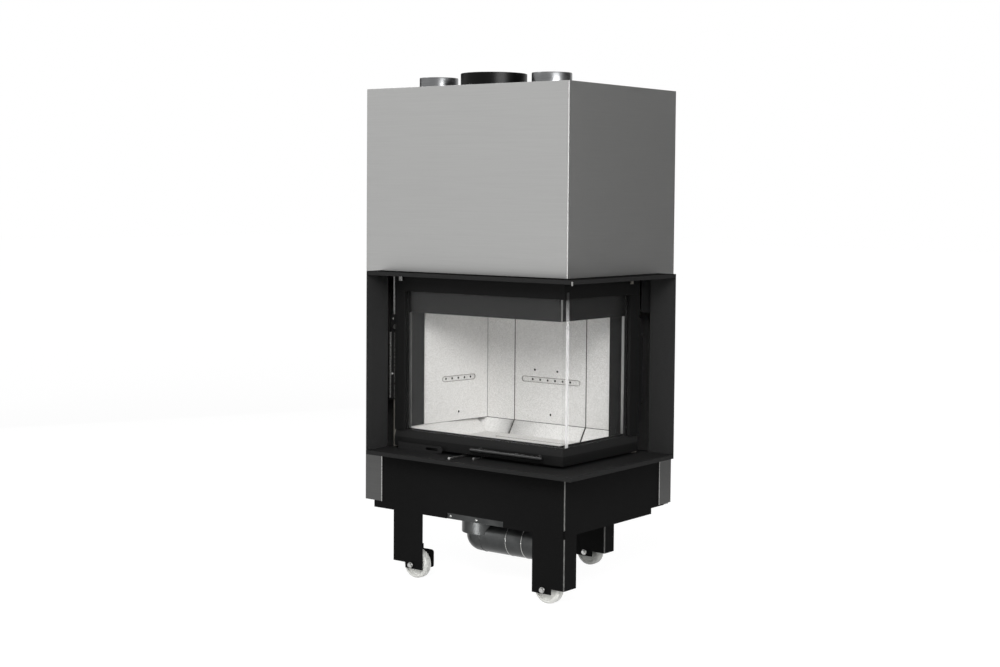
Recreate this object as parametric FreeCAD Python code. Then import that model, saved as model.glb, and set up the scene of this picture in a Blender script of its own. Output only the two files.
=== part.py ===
import FreeCAD, Part
import math
import os

# Two-sided fireplace insert with a lift-up corner glass door, in millimetres.
# +X runs to the right of the main front, +Y to the back and +Z up.
# The origin is on the floor, in the middle of the outline seen from above.
# The front and right sides meet at the near corner. Pieces that follow both sides are given
# by a section: its first number is the depth behind the outer face, its second the height.

os.makedirs("parts", exist_ok=True)

# Overall sizes
casing_width = 740.0
casing_depth = 550.0
casing_height = 540.0
frame_reach = 60.0
opening_height = 522.0
lip_height = 12.0
shelf_bottom = 367.0
left_frame_inset = 55.0
rear_frame_inset = 83.0

# Thicknesses and general clearances
sheet = 1.5
plate = 3.0
boiler_plate = 4.0
overrun = 10.0
slide_gap = 0.3
running_gap = 0.08
bolt_hole_gap = 0.25

# Casing
strip_bottom = 219.0
strip_width = 67.0
wrap_bend_radius = 4.0

# Flue and hot-air collars on the top
flue_from_left = 313.0
flue_from_front = 215.0
flue_outer_d = 198.0
flue_wall = 4.0
flue_rise = 46.0
flue_seat_d = 226.0
flue_seat_height = 3.0
flue_base_d = 230.0
flue_base_thickness = 5.0
flue_hole_gap = 3.0
hot_air_spacing = 213.0
hot_air_d = 118.0
hot_air_wall = 1.2
hot_air_rise = 41.0
hot_air_flange_d = 144.0
hot_air_flange = 1.5

# Frame round the opening
lintel_gap = 5.0
jamb_depth = 94.0
right_jamb_depth = 87.0
tab_width = 13.0
tab_drop = 17.0
tab_from_door_end = 21.0
side_tab_from_door_end = 48.0

# Base
apron_bottom = 198.0
apron_left_inset = 34.0
apron_rear_inset = 36.0
apron_step_inset = 105.0
apron_bend_radius = 4.0
notch_from_left = 317.0
notch_width = 208.0
notch_height = 17.0
relief_width = 5.0
relief_height = 25.0
relief_above_edge = 19.0
leg_bottom = 47.0
leg_width = 112.0
left_leg_from_left = 112.0
near_leg_return = 60.0
rear_leg_inset = 75.0
rear_right_leg_from_left = 441.0
rear_leg_return = 51.0
tray_rear_gap = 5.0
tongue_width = 65.0
tongue_drop = 16.0
bolt_from_leg_edge = 40.0

# Wheels
wheel_d = 86.0
wheel_width = 30.0
wheel_edge_radius = 8.0
wheel_behind_leg = 25.0
hub_d = 26.0
hub_gap = 0.5
bolt_d = 10.0
bolt_head_d = 16.0
bolt_head_height = 6.5
bolt_stand = 6.0
bracket_reach = 52.0
bracket_top = 98.0
bracket_web_width = 25.0
bracket_cheek_top = 84.0
bracket_corner_radius = 8.0

# Outside air inlet under the base
inlet_from_left = 369.0
inlet_from_front = 112.0
inlet_pipe_d = 100.0
inlet_pipe_wall = 1.0
inlet_axis_drop = 54.0
inlet_outlet_run = 241.0
inlet_spigot_length = 58.0
inlet_bead = 1.5
inlet_bead_width = 4.0
inlet_flange_width = 232.0
inlet_flange_depth = 200.0
inlet_flange_from_left = 290.0
inlet_ring_gap = 2.0
inlet_collar_d = 130.0
inlet_collar_wall = 2.0
inlet_collar_height = 46.0

# Firebox
door_setback = 30.0
sill_setback = 36.0
sill_above_rail = 2.0
hearth_top = 400.0
hearth_thickness = 30.0
hearth_floor_plate = 6.0
hearth_clearance = 1.0
brick_top = 441.0
left_brick_width = 58.0
left_brick_ledge = 18.0
rear_brick_width = 59.0
back_lining_thickness = 32.0
left_lining_front_thickness = 5.0
left_lining_rear_thickness = 40.0
left_lining_setback = 70.0
lining_height = 439.0
back_joint_shares = (0.2896, 0.818)
post_width = 48.0
post_depth = 47.0
firebox_side_inset = 23.0
rear_cavity = 118.0
roof_above_lintel = 7.0
band_drop = 114.0
band_rear_gap = 25.0
baffle_thickness = 25.0
baffle_throat = 92.0
baffle_side_gap = 3.0
dome_left_inset = 68.0
dome_right_inset = 54.0
dome_front_inset = 26.0
dome_rear_inset = 32.0
dome_height = 430.0
dome_wall = 3.0

# Air holes in the linings
recess_height = 16.0
recess_depth = 3.0
recess_level = 132.0
air_hole_d = 7.0
air_hole_depth = 9.0
back_hole_count = 6
back_hole_pitch_share = 0.105
back_recess_end = 39.0
back_recess_shift = 3.0
left_hole_count = 5
left_hole_pitch_share = 0.099
left_recess_end = 18.0
left_recess_middle_share = 0.53
peg_hole_level = 162.0
peg_hole_spacing = 85.0
peg_hole_shift = -18.0
low_hole_level = 27.0
groove_length = 299.0
groove_width = 4.0
groove_depth = 5.0
groove_end_d = 10.0
groove_from_rear_brick = 63.0
groove_from_left = 149.0

# Door
door_rest_gap = 9.0
door_depth = 22.0
rail_height = 48.0
rail_face_height = 27.0
rail_slope_inset = 7.0
top_rail_drop = 49.0
top_rail_height = 75.0
left_stile_width = 39.0
right_stile_width = 48.0
guide_space = 31.0
rear_guide_space = 51.0
rail_wall = 3.0
rail_pocket = 22.0
top_rail_pocket = 48.0
glass_setback = 10.0
glass_thickness = 4.0
glass_bite = 18.0
seal_width = 12.0
handle_from_corner = 54.0
handle_length = 258.0
handle_d = 12.0
handle_standoff = 22.0
handle_above_rail = 19.0
handle_post_d = 10.0
handle_post_inset = 24.0

# Lift gear beside each end of the door
guide_offset = 8.0
guide_width = 14.0
guide_setback = 20.0
guide_depth = 10.0
guide_length = 960.0
carriage_width = 28.0
carriage_setback = 6.0
carriage_depth = 22.0
carriage_from_shelf = 147.0
carriage_length = 203.0
clamp_gap = 3.0
clamp_width = 14.0
clamp_height = 48.0
clamp_setback = 9.0
clamp_depth = 10.0
neck_width = 8.0
cable_setback = 15.0
cable_offset = 16.0
cable_d = 6.0
pulley_radius = 40.0
pulley_rim = 4.0
pulley_width = 14.0
pulley_below_top = 56.0
pulley_shaft_d = 10.0
pulley_shaft_length = 30.0
bracket_cheek_gap = 1.0
bracket_cheek = 2.5
bracket_length = 50.0
bracket_below_axle = 16.0
weight_width = 50.0
weight_depth = 60.0
weight_height = 500.0
weight_below_pulley = 105.0

# Air controls in front of the door
slide_from_left = 115.0
slide_length = 170.0
slide_height = 20.0
slide_foot_depth = 10.0
slide_in_front = 12.0
finger_slot_length = 46.0
finger_slot_height = 8.0
finger_slot_inset = 18.0
rod_d = 6.0
rod_above_shelf = 4.5
rod_inner_reaches = {"primary": 6.0, "secondary": 42.0}
rod_knob_d = 8.0
rod_knob_length = 12.0
rod_offsets = {"primary": 360.0, "secondary": 418.0}
rod_reaches = {"primary": 60.0, "secondary": 20.0}

# Small screws that show
screw_d = 7.0
screw_head_height = 2.0
carriage_screw_from_top = 127.0
flange_screw_inset = 40.0
flange_screw_pitch = 95.0

# Reference lines worked out from the sizes above
x_left = -(casing_width + frame_reach) / 2
x_right = x_left + casing_width
y_front = (frame_reach - casing_depth) / 2
y_rear = y_front + casing_depth
z_shelf = shelf_bottom + lip_height
z_shelf_under = z_shelf - plate
z_lintel = z_shelf + opening_height
z_casing = z_lintel + lip_height
z_lintel_under = z_casing - plate
z_top = z_casing + casing_height
x_jamb = x_left + left_frame_inset
y_jamb = y_rear - rear_frame_inset
lip_corner = (x_right + frame_reach, y_front - frame_reach)
casing_corner = (x_right, y_front)
door_corner = (x_right - door_setback, y_front + door_setback)
x_door, y_door = door_corner
door_left = x_jamb + plate + guide_space
door_rear = y_jamb - plate - rear_guide_space
door_front_length = x_door - door_left
door_side_length = door_rear - y_door
door_bottom = z_shelf + door_rest_gap
rail_top = door_bottom + rail_height
top_rail_bottom = z_lintel - top_rail_drop
door_top = top_rail_bottom + top_rail_height
z_tray = apron_bottom + notch_height
z_tray_top = z_tray + plate
x_firebox = door_left + firebox_side_inset
y_firebox = y_rear - rear_cavity
x_sill = x_door - sill_setback - plate
y_sill = y_door + sill_setback + plate
z_roof = z_lintel + roof_above_lintel
z_floor_plate = hearth_top - hearth_thickness
air_plenum = post_width
axle_height = wheel_d / 2
x_flue = x_left + flue_from_left
y_flue = y_front + flue_from_front
x_inlet = x_left + inlet_from_left
y_inlet = y_front + inlet_from_front
z_pulley = z_top - pulley_below_top
leg_front = y_front + sheet
rear_leg_front = y_rear - rear_leg_inset
left_leg_inner = x_left + left_leg_from_left + leg_width
near_leg_inner = x_right - leg_width
rear_right_leg_inner = x_left + rear_right_leg_from_left


def point(x, y, z):
    return FreeCAD.Vector(x, y, z)


def box(x0, x1, y0, y1, z0, z1):
    """Block between two opposite corners."""
    return Part.makeBox(x1 - x0, y1 - y0, z1 - z0, point(x0, y0, z0))


def flat_face(points):
    return Part.Face(Part.makePolygon(points + points[:1]))


def plan_prism(outline, z0, z1):
    """Upright prism over an outline of (x, y) points."""
    return flat_face([point(x, y, z0) for x, y in outline]).extrude(point(0, 0, z1 - z0))


def front_prism(outline, y0, y1):
    """Prism along Y over an outline of (x, z) points."""
    return flat_face([point(x, y0, z) for x, z in outline]).extrude(point(0, y1 - y0, 0))


def side_prism(outline, x0, x1):
    """Prism along X over an outline of (y, z) points."""
    return flat_face([point(x0, y, z) for y, z in outline]).extrude(point(x1 - x0, 0, 0))


def rod(diameter, base, direction, length):
    return Part.makeCylinder(diameter / 2, length, base, direction)


def ring(outer_d, inner_d, base, direction, length):
    return rod(outer_d, base, direction, length).cut(rod(inner_d, base, direction, length))


def joined(shapes):
    """One solid made of touching or overlapping pieces."""
    return shapes[0].multiFuse(shapes[1:]).removeSplitter()


def group(shapes):
    return Part.makeCompound(shapes)


def mitred_front(section, corner, length):
    """Front half of a corner piece, cut off at 45 degrees at the near corner."""
    x, y = corner
    free_end = [point(x - length, y + depth, z) for depth, z in section]
    mitre = [point(x - depth, y + depth, z) for depth, z in section]
    ends = [Part.makePolygon(ends + ends[:1]) for ends in (free_end, mitre)]
    return Part.makeLoft(ends, True, True)


def turned_to_side(shape, corner):
    """The same piece on the right side: mirrored across the corner's diagonal."""
    x, y = corner
    return shape.mirror(point(x, y, 0), point(1, 1, 0))


def corner_piece(section, corner, front_length, side_length):
    front = mitred_front(section, corner, front_length)
    side = turned_to_side(mitred_front(section, corner, side_length), corner)
    return joined([front, side])


def rectangle(depth0, depth1, z0, z1):
    return [(depth0, z0), (depth0, z1), (depth1, z1), (depth1, z0)]


def upright_edges(shape, x, y):
    """Straight upright edges that stand on one point of the plan."""
    found = []
    for edge in shape.Edges:
        ends = [vertex.Point for vertex in edge.Vertexes]
        if all(math.hypot(end.x - x, end.y - y) < running_gap for end in ends):
            found.append(edge)
    return found


def level_edges(shape, x, z):
    """Straight edges along Y that show as one point of the front view."""
    found = []
    for edge in shape.Edges:
        ends = [vertex.Point for vertex in edge.Vertexes]
        if all(math.hypot(end.x - x, end.z - z) < running_gap for end in ends):
            found.append(edge)
    return found


def bent(shape, corner, radius):
    """Round the sharp outer edge of a folded corner."""
    return shape.makeFillet(radius, upright_edges(shape, *corner))


def long_slot(length, height, x, y, z, depth):
    """Upright slot with round ends, cut from the front towards the back."""
    half = (length - height) / 2
    ends = [rod(height, point(x + side * half, y, z), point(0, 1, 0), depth) for side in (-1, 1)]
    middle = box(x - half, x + half, y, y + depth, z - height / 2, z + height / 2)
    return joined([middle] + ends)


def air_row(count, pitch, end, x, y, z):
    """Shallow recess with round ends and a row of air holes in it, cut from the front towards the back."""
    length = (count - 1) * pitch + 2 * end
    row = [long_slot(length, recess_height, x, y, z, recess_depth)]
    for index in range(count):
        across = x + (index - (count - 1) / 2) * pitch
        row.append(rod(air_hole_d, point(across, y, z), point(0, 1, 0), air_hole_depth))
    return joined(row)


def casing_parts():
    wrap_section = rectangle(0, sheet, z_casing, z_top)
    wrap = bent(corner_piece(wrap_section, casing_corner, casing_width, casing_depth),
                casing_corner, wrap_bend_radius)

    left = joined([
        box(x_left, x_left + sheet, y_front + sheet, y_rear - sheet, strip_bottom, z_top),
        box(x_left, x_left + strip_width, y_front, y_front + sheet, strip_bottom, z_shelf_under),
        box(x_left, x_jamb, y_front, y_front + sheet, z_shelf_under, z_casing),
    ])
    rear = joined([
        box(x_left, x_right - sheet, y_rear - sheet, y_rear, strip_bottom, z_top),
        box(x_right - sheet, x_right, y_rear - strip_width, y_rear, strip_bottom, z_shelf_under),
        box(x_right - sheet, x_right, y_jamb, y_rear, z_shelf_under, z_casing),
    ])
    top = box(x_left + sheet, x_right - sheet, y_front + sheet, y_rear - sheet, z_top - sheet, z_top)
    below = z_top - sheet - overrun
    through = sheet + 2 * overrun
    up = point(0, 0, 1)
    top = top.cut(rod(flue_outer_d + 2 * flue_hole_gap, point(x_flue, y_flue, below), up, through))
    for side in (-1, 1):
        centre = point(x_flue + side * hot_air_spacing, y_flue, below)
        top = top.cut(rod(hot_air_d - 2 * hot_air_wall, centre, up, through))
    return {"casing_wrap": wrap, "casing_left_sheet": left, "casing_rear_sheet": rear, "casing_top": top}


def collar_parts():
    up = point(0, 0, 1)
    base = z_roof + boiler_plate + dome_height
    height = z_top + flue_rise - base
    bore_d = flue_outer_d - 2 * flue_wall
    flue = joined([
        rod(flue_base_d, point(x_flue, y_flue, base), up, flue_base_thickness),
        rod(flue_outer_d, point(x_flue, y_flue, base), up, height),
        rod(flue_seat_d, point(x_flue, y_flue, z_top), up, flue_seat_height),
    ])
    flue = flue.cut(rod(bore_d, point(x_flue, y_flue, base - overrun), up, height + 2 * overrun))
    parts = {"flue_collar": flue}
    for name, side in (("left", -1), ("right", 1)):
        x = x_flue + side * hot_air_spacing
        collar = joined([
            rod(hot_air_flange_d, point(x, y_flue, z_top), up, hot_air_flange),
            rod(hot_air_d, point(x, y_flue, z_top), up, hot_air_rise),
        ])
        bore = rod(hot_air_d - 2 * hot_air_wall, point(x, y_flue, z_top - overrun), up,
                   hot_air_rise + 2 * overrun)
        parts["hot_air_collar_" + name] = collar.cut(bore)
    return parts


def frame_parts():
    front_length = lip_corner[0] - x_jamb
    side_length = y_jamb - lip_corner[1]
    lintel_depth = frame_reach + door_setback - lintel_gap
    lintel_section = [(0, z_lintel), (0, z_casing), (lintel_depth, z_casing),
                      (lintel_depth, z_lintel_under), (plate, z_lintel_under), (plate, z_lintel)]
    lintel = corner_piece(lintel_section, lip_corner, front_length, side_length)
    tab_left = door_left + tab_from_door_end
    tab_rear = door_rear - side_tab_from_door_end
    tab_front = y_door - lintel_gap
    tab_side = x_door + lintel_gap
    tab_bottom = z_lintel - tab_drop
    lintel = joined([
        lintel,
        box(tab_left, tab_left + tab_width, tab_front - plate, tab_front, tab_bottom, z_casing),
        box(tab_side, tab_side + plate, tab_rear - tab_width, tab_rear, tab_bottom, z_casing),
    ])

    shelf_depth = frame_reach + door_setback + sill_setback
    shelf_section = [(0, shelf_bottom), (0, z_shelf), (shelf_depth, z_shelf),
                     (shelf_depth, z_shelf_under), (plate, z_shelf_under), (plate, shelf_bottom)]
    shelf = corner_piece(shelf_section, lip_corner, front_length, side_length)

    left = box(x_jamb, x_jamb + plate, lip_corner[1], lip_corner[1] + jamb_depth, z_shelf, z_lintel)
    right = box(lip_corner[0] - right_jamb_depth, lip_corner[0], y_jamb - plate, y_jamb, z_shelf, z_lintel)
    return {"lintel": lintel, "shelf": shelf, "left_jamb": left, "right_jamb": right}


def leg_outline(outer, inner, top):
    """Leg seen from the front, with a lower tongue for the wheel bolt on its inner side."""
    towards_outer = math.copysign(tongue_width, outer - inner)
    tongue = leg_bottom - tongue_drop
    return [(outer, top), (outer, leg_bottom), (inner + towards_outer, leg_bottom),
            (inner + towards_outer, tongue), (inner, tongue), (inner, top)]


def bolt_places():
    """Wheel bolts by corner: centre line X, and the front face of the leg that carries the bolt."""
    return {
        "front_left": (left_leg_inner - bolt_from_leg_edge, leg_front),
        "front_right": (near_leg_inner + bolt_from_leg_edge, leg_front),
        "rear_left": (left_leg_inner - bolt_from_leg_edge, rear_leg_front),
        "rear_right": (rear_right_leg_inner + bolt_from_leg_edge, rear_leg_front),
    }


def bolt_holes():
    size = bolt_d + 2 * bolt_hole_gap
    length = bracket_reach + plate + 2 * overrun
    return [rod(size, point(x, face - overrun, axle_height), point(0, 1, 0), length)
            for x, face in bolt_places().values()]


def base_parts():
    x_apron = x_right - sheet
    skirt = box(x_left + apron_left_inset, x_apron, leg_front, leg_front + plate, apron_bottom,
                z_shelf_under)
    notch_left = x_left + notch_from_left
    notch = box(notch_left, notch_left + notch_width, leg_front - overrun, leg_front + overrun,
                apron_bottom - overrun, z_tray)
    left_leg = front_prism(leg_outline(left_leg_inner - leg_width, left_leg_inner, apron_bottom),
                           leg_front, leg_front + plate)
    near_leg = front_prism(leg_outline(x_apron, near_leg_inner, apron_bottom), leg_front, leg_front + plate)
    side_skirt = box(x_apron - plate, x_apron, leg_front, y_rear - apron_rear_inset, z_tray, z_shelf_under)
    side_edge = box(x_apron - plate, x_apron, leg_front, y_rear - apron_step_inset, apron_bottom, z_tray)
    near_return = box(x_apron - plate, x_apron, leg_front, y_front + near_leg_return, leg_bottom,
                      apron_bottom)
    apron = joined([skirt.cut(notch), left_leg, near_leg, side_skirt, side_edge, near_return])
    apron = bent(apron, (x_apron, leg_front), apron_bend_radius)
    relief_top = apron_bottom + relief_above_edge
    relief = box(x_apron - relief_width, x_apron + overrun, leg_front - overrun, leg_front + relief_width,
                 relief_top - relief_height, relief_top)
    apron = apron.cut(relief)

    rear_legs = []
    for outer, inner in ((left_leg_inner - leg_width, left_leg_inner),
                         (rear_right_leg_inner + leg_width, rear_right_leg_inner)):
        face = front_prism(leg_outline(outer, inner, z_tray), rear_leg_front, rear_leg_front + plate)
        inward = math.copysign(plate, inner - outer)
        edges = sorted((outer, outer + inward))
        side = box(edges[0], edges[1], rear_leg_front, rear_leg_front + rear_leg_return, leg_bottom, z_tray)
        rear_legs.append(joined([face, side]))

    tray = box(x_left + apron_left_inset, x_apron - plate, leg_front + plate, y_rear - sheet - tray_rear_gap,
               z_tray, z_tray_top)
    inlet_hole = rod(inlet_pipe_d, point(x_inlet, y_inlet, z_tray - overrun), point(0, 0, 1),
                     plate + 2 * overrun)
    for hole in bolt_holes():
        apron = apron.cut(hole)
        rear_legs = [leg.cut(hole) for leg in rear_legs]
    return {"base_apron": apron, "rear_legs": group(rear_legs), "base_tray": tray.cut(inlet_hole)}


def screw(x, y, z):
    """Low round head seated on a surface that faces the front."""
    return rod(screw_d, point(x, y - screw_head_height, z), point(0, 1, 0), screw_head_height)


def flange_screws():
    first = x_left + inlet_flange_from_left + flange_screw_inset
    return [screw(first + step * flange_screw_pitch, leg_front + plate, apron_bottom + notch_height / 2)
            for step in (0, 1)]


def wheel_parts():
    along = point(0, 1, 0)
    brackets = []
    bolts = []
    parts = {}
    for corner, (x, face) in bolt_places().items():
        towards_inner = 1 if corner.endswith("left") else -1
        inner = x + towards_inner * bolt_from_leg_edge
        outer = inner - towards_inner * tongue_width
        web = outer + towards_inner * bracket_web_width
        tongue = leg_bottom - tongue_drop
        back = face + plate
        cheek_front = face + bracket_reach
        cheek_back = cheek_front + plate
        outline = [(outer, tongue), (outer, bracket_top), (web, bracket_top), (web, bracket_cheek_top),
                   (inner, bracket_cheek_top), (inner, tongue)]
        cheek = front_prism(outline, cheek_front, cheek_back)
        free_corners = level_edges(cheek, inner, bracket_cheek_top) + level_edges(cheek, inner, tongue)
        web_box = box(min(outer, web), max(outer, web), back, cheek_back, bracket_top - plate, bracket_top)
        bracket = joined([cheek.makeFillet(bracket_corner_radius, free_corners), web_box])
        for hole in bolt_holes():
            bracket = bracket.cut(hole)
        brackets.append(bracket)

        wheel_front = face + plate + wheel_behind_leg - wheel_width / 2
        tread = rod(wheel_d, point(x, wheel_front, axle_height), along, wheel_width)
        rims = [edge for edge in tread.Edges if edge.Closed and len(edge.Vertexes) == 1]
        tread = tread.makeFillet(wheel_edge_radius, rims)
        hub_front = back + hub_gap
        hub_length = cheek_front - hub_gap - hub_front
        hub = rod(hub_d, point(x, hub_front, axle_height), along, hub_length)
        bore = rod(bolt_d + 2 * running_gap, point(x, face, axle_height), along, bracket_reach)
        parts["wheel_" + corner] = joined([tread, hub]).cut(bore)

        bolts.append(joined([
            rod(bolt_d, point(x, face - bolt_stand, axle_height), along, bolt_stand + bracket_reach + plate),
            rod(bolt_head_d, point(x, face - bolt_stand - bolt_head_height, axle_height), along,
                bolt_head_height),
            rod(bolt_head_d, point(x, cheek_back, axle_height), along, bolt_head_height),
        ]))
    parts["wheel_brackets"] = group(brackets)
    parts["base_fasteners"] = group(bolts + flange_screws())
    return parts


def inlet_corner():
    """Where the axes of the elbow's two pipes meet."""
    return point(x_inlet, y_inlet, apron_bottom - inlet_axis_drop)


def pipe_bend(diameter):
    """Elbow with a round heel that leaves the flange downwards and turns to +X, with its straight outlet."""
    corner = inlet_corner()
    upright = rod(diameter, corner, point(0, 0, 1), inlet_axis_drop)
    outlet = rod(diameter, corner, point(1, 0, 0), inlet_outlet_run)
    heel = Part.makeSphere(diameter / 2, corner)
    return joined([upright, outlet, heel])


def inlet_parts():
    up = point(0, 0, 1)
    left = x_left + inlet_flange_from_left
    front = leg_front + plate
    flange = box(left, left + inlet_flange_width, front, front + inlet_flange_depth, apron_bottom, z_tray)
    hollow = box(left + sheet, left + inlet_flange_width - sheet, front + sheet,
                 front + inlet_flange_depth - sheet, apron_bottom + sheet, z_tray + overrun)
    bore_d = inlet_pipe_d - 2 * inlet_pipe_wall
    hole = rod(bore_d, point(x_inlet, y_inlet, apron_bottom - overrun), up, notch_height + 2 * overrun)
    ring_inner = inlet_pipe_d + 2 * inlet_ring_gap
    collar_foot = point(x_inlet, y_inlet, apron_bottom - inlet_collar_height)
    collar_inner = inlet_collar_d - 2 * inlet_collar_wall
    collar = joined([ring(inlet_collar_d, collar_inner, collar_foot, up, inlet_collar_height),
                     ring(inlet_collar_d, ring_inner, collar_foot, up, inlet_collar_wall)])
    collar = collar.cut(pipe_bend(inlet_pipe_d + inlet_ring_gap))
    flange = joined([flange.cut(hollow).cut(hole), collar])
    outlet = inlet_corner()
    bead = outlet + point(inlet_outlet_run - inlet_spigot_length - inlet_bead_width, 0, 0)
    elbow = joined([pipe_bend(inlet_pipe_d),
                    rod(inlet_pipe_d + 2 * inlet_bead, bead, point(1, 0, 0), inlet_bead_width)])
    elbow = elbow.cut(pipe_bend(bore_d))
    elbow = elbow.cut(rod(bore_d, outlet, point(1, 0, 0), inlet_outlet_run + overrun))
    return {"air_inlet_flange": flange, "air_inlet_elbow": elbow}


def firebox_parts():
    inner_front = y_door + sill_setback
    sill_top = rail_top + sill_above_rail
    sill_depth = sill_setback + plate
    post_left = x_sill - post_width
    post_front = y_firebox - post_depth
    sill = joined([
        corner_piece(rectangle(sill_setback, sill_depth, z_tray_top, sill_top), door_corner,
                     x_door - x_firebox, y_firebox + boiler_plate - y_door),
        corner_piece(rectangle(sill_depth, sill_depth + air_plenum, hearth_top - plate, hearth_top),
                     door_corner, x_door - x_firebox - left_brick_width, post_front - y_door),
    ])
    for name in rod_offsets:
        sill = sill.cut(rod(rod_d + 2 * running_gap, point(x_left + rod_offsets[name], y_door, rod_height()),
                            point(0, 1, 0), sill_setback + overrun))
    left = joined([
        box(x_firebox - boiler_plate, x_firebox, inner_front, y_firebox + boiler_plate, z_tray_top, z_roof),
        box(door_left, x_firebox, inner_front, inner_front + boiler_plate, door_bottom, z_roof),
    ])
    back = box(x_firebox, x_sill, y_firebox, y_firebox + boiler_plate, z_tray_top, z_roof)
    floor = box(x_firebox, x_sill, y_sill, y_firebox, z_floor_plate - hearth_floor_plate, z_floor_plate)
    post = joined([
        box(post_left, x_sill, post_front, post_front + boiler_plate, z_floor_plate, z_roof),
        box(x_sill - boiler_plate, x_sill, post_front, y_firebox, z_floor_plate, z_roof),
    ])
    band = corner_piece(rectangle(sill_setback, sill_setback + plate, z_lintel - band_drop, z_roof),
                        door_corner, x_door - x_firebox, y_firebox - band_rear_gap - y_door)

    dome_left = x_firebox + dome_left_inset
    dome_right = x_sill - dome_right_inset
    dome_front = inner_front + dome_front_inset
    dome_rear = y_firebox - dome_rear_inset
    dome_base = z_roof + boiler_plate
    dome_top = dome_base + dome_height
    roof = box(x_firebox - boiler_plate, x_sill + plate, inner_front, y_firebox + boiler_plate, z_roof,
               dome_base)
    mouth = box(dome_left + dome_wall, dome_right - dome_wall, dome_front + dome_wall, dome_rear - dome_wall,
                z_roof - overrun, dome_top - dome_wall)
    dome = box(dome_left, dome_right, dome_front, dome_rear, dome_base, dome_top).cut(mouth)
    flue_foot = point(x_flue, y_flue, dome_top - overrun)
    dome = dome.cut(rod(flue_outer_d - 2 * flue_wall, flue_foot, point(0, 0, 1), 2 * overrun))
    return {"hearth_sill": sill, "firebox_left_plate": left, "firebox_back_plate": back,
            "firebox_floor_plate": floor, "firebox_right_post": post, "deflector_band": band,
            "firebox_roof": roof.cut(mouth), "smoke_dome": dome}


def lining_parts():
    lining_top = brick_top + lining_height
    brick_front = y_sill + hearth_clearance
    brick_rear = y_firebox - rear_brick_width
    floor_left = x_firebox + left_brick_width
    floor = box(floor_left, x_sill - air_plenum, y_sill + air_plenum, brick_rear, z_floor_plate, hearth_top)
    groove_left = x_firebox + groove_from_left
    groove_y = brick_rear - groove_from_rear_brick
    groove_bottom = hearth_top - groove_depth
    floor = floor.cut(box(groove_left, groove_left + groove_length, groove_y - groove_width / 2,
                          groove_y + groove_width / 2, groove_bottom, hearth_top + overrun))
    for x in (groove_left, groove_left + groove_length):
        floor = floor.cut(rod(groove_end_d, point(x, groove_y, groove_bottom), point(0, 0, 1), overrun))

    left_brick = front_prism([(x_firebox, z_floor_plate), (x_firebox, brick_top),
                              (x_firebox + left_brick_ledge, brick_top), (floor_left, hearth_top),
                              (floor_left, z_floor_plate)], brick_front, brick_rear)
    panel_front = y_firebox - back_lining_thickness
    rear_section = [(brick_rear, z_floor_plate), (brick_rear, hearth_top), (panel_front, brick_top),
                    (y_firebox, brick_top), (y_firebox, z_floor_plate)]
    panel_end = x_sill - post_width
    joints = [x_firebox] + [x_firebox + share * (panel_end - x_firebox) for share in back_joint_shares]
    joints.append(panel_end)
    rear_bricks = [side_prism(rear_section, start, end) for start, end in zip(joints, joints[1:])]
    panels = [box(start, end, panel_front, y_firebox, brick_top, lining_top)
              for start, end in zip(joints, joints[1:])]

    middle = (joints[1] + joints[2]) / 2 + back_recess_shift
    hole_pitch = back_hole_pitch_share * (joints[2] - joints[1])
    panels[1] = panels[1].cut(air_row(back_hole_count, hole_pitch, back_recess_end, middle, panel_front,
                                      brick_top + recess_level))
    peg_middle = middle + peg_hole_shift
    pegs = [(peg_middle - peg_hole_spacing / 2, peg_hole_level),
            (peg_middle + peg_hole_spacing / 2, peg_hole_level), (middle, low_hole_level)]
    for x, level in pegs:
        panels[1] = panels[1].cut(rod(air_hole_d, point(x, panel_front, brick_top + level), point(0, 1, 0),
                                      air_hole_depth))

    lining_front = y_sill + left_lining_setback
    face_start = point(x_firebox + left_lining_front_thickness, lining_front, brick_top)
    face_end = point(x_firebox + left_lining_rear_thickness, panel_front, brick_top)
    left = plan_prism([(x_firebox, lining_front), (face_start.x, face_start.y), (face_end.x, face_end.y),
                       (x_firebox, panel_front)], brick_top, lining_top)
    along = face_end - face_start
    recess_middle = left_recess_middle_share * along.Length
    hole_pitch = left_hole_pitch_share * along.Length
    along.normalize()
    splay = math.degrees(math.atan2(face_start.x - face_end.x, face_end.y - face_start.y))
    into = FreeCAD.Rotation(point(0, 0, 1), 90).multVec(along)
    row = air_row(left_hole_count, hole_pitch, left_recess_end, 0, 0, recess_level)
    row.Placement = FreeCAD.Placement(face_start + along * recess_middle,
                                      FreeCAD.Rotation(point(0, 0, 1), 90 + splay))
    left = left.cut(row)
    low = face_start + along * recess_middle + point(0, 0, low_hole_level)
    left = left.cut(rod(air_hole_d, low, into, air_hole_depth))

    baffle = box(x_firebox, x_sill - post_width - baffle_side_gap, y_sill + baffle_throat, y_firebox,
                 lining_top, lining_top + baffle_thickness)
    parts = {"hearth_bricks": group([floor, left_brick] + rear_bricks), "left_lining": left, "baffle": baffle}
    for name, panel in zip(("left", "centre", "right"), panels):
        parts["back_lining_" + name] = panel
    return parts


def glass_slot(z0, z1):
    return rectangle(glass_setback - slide_gap, glass_setback + glass_thickness + slide_gap, z0, z1)


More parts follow.
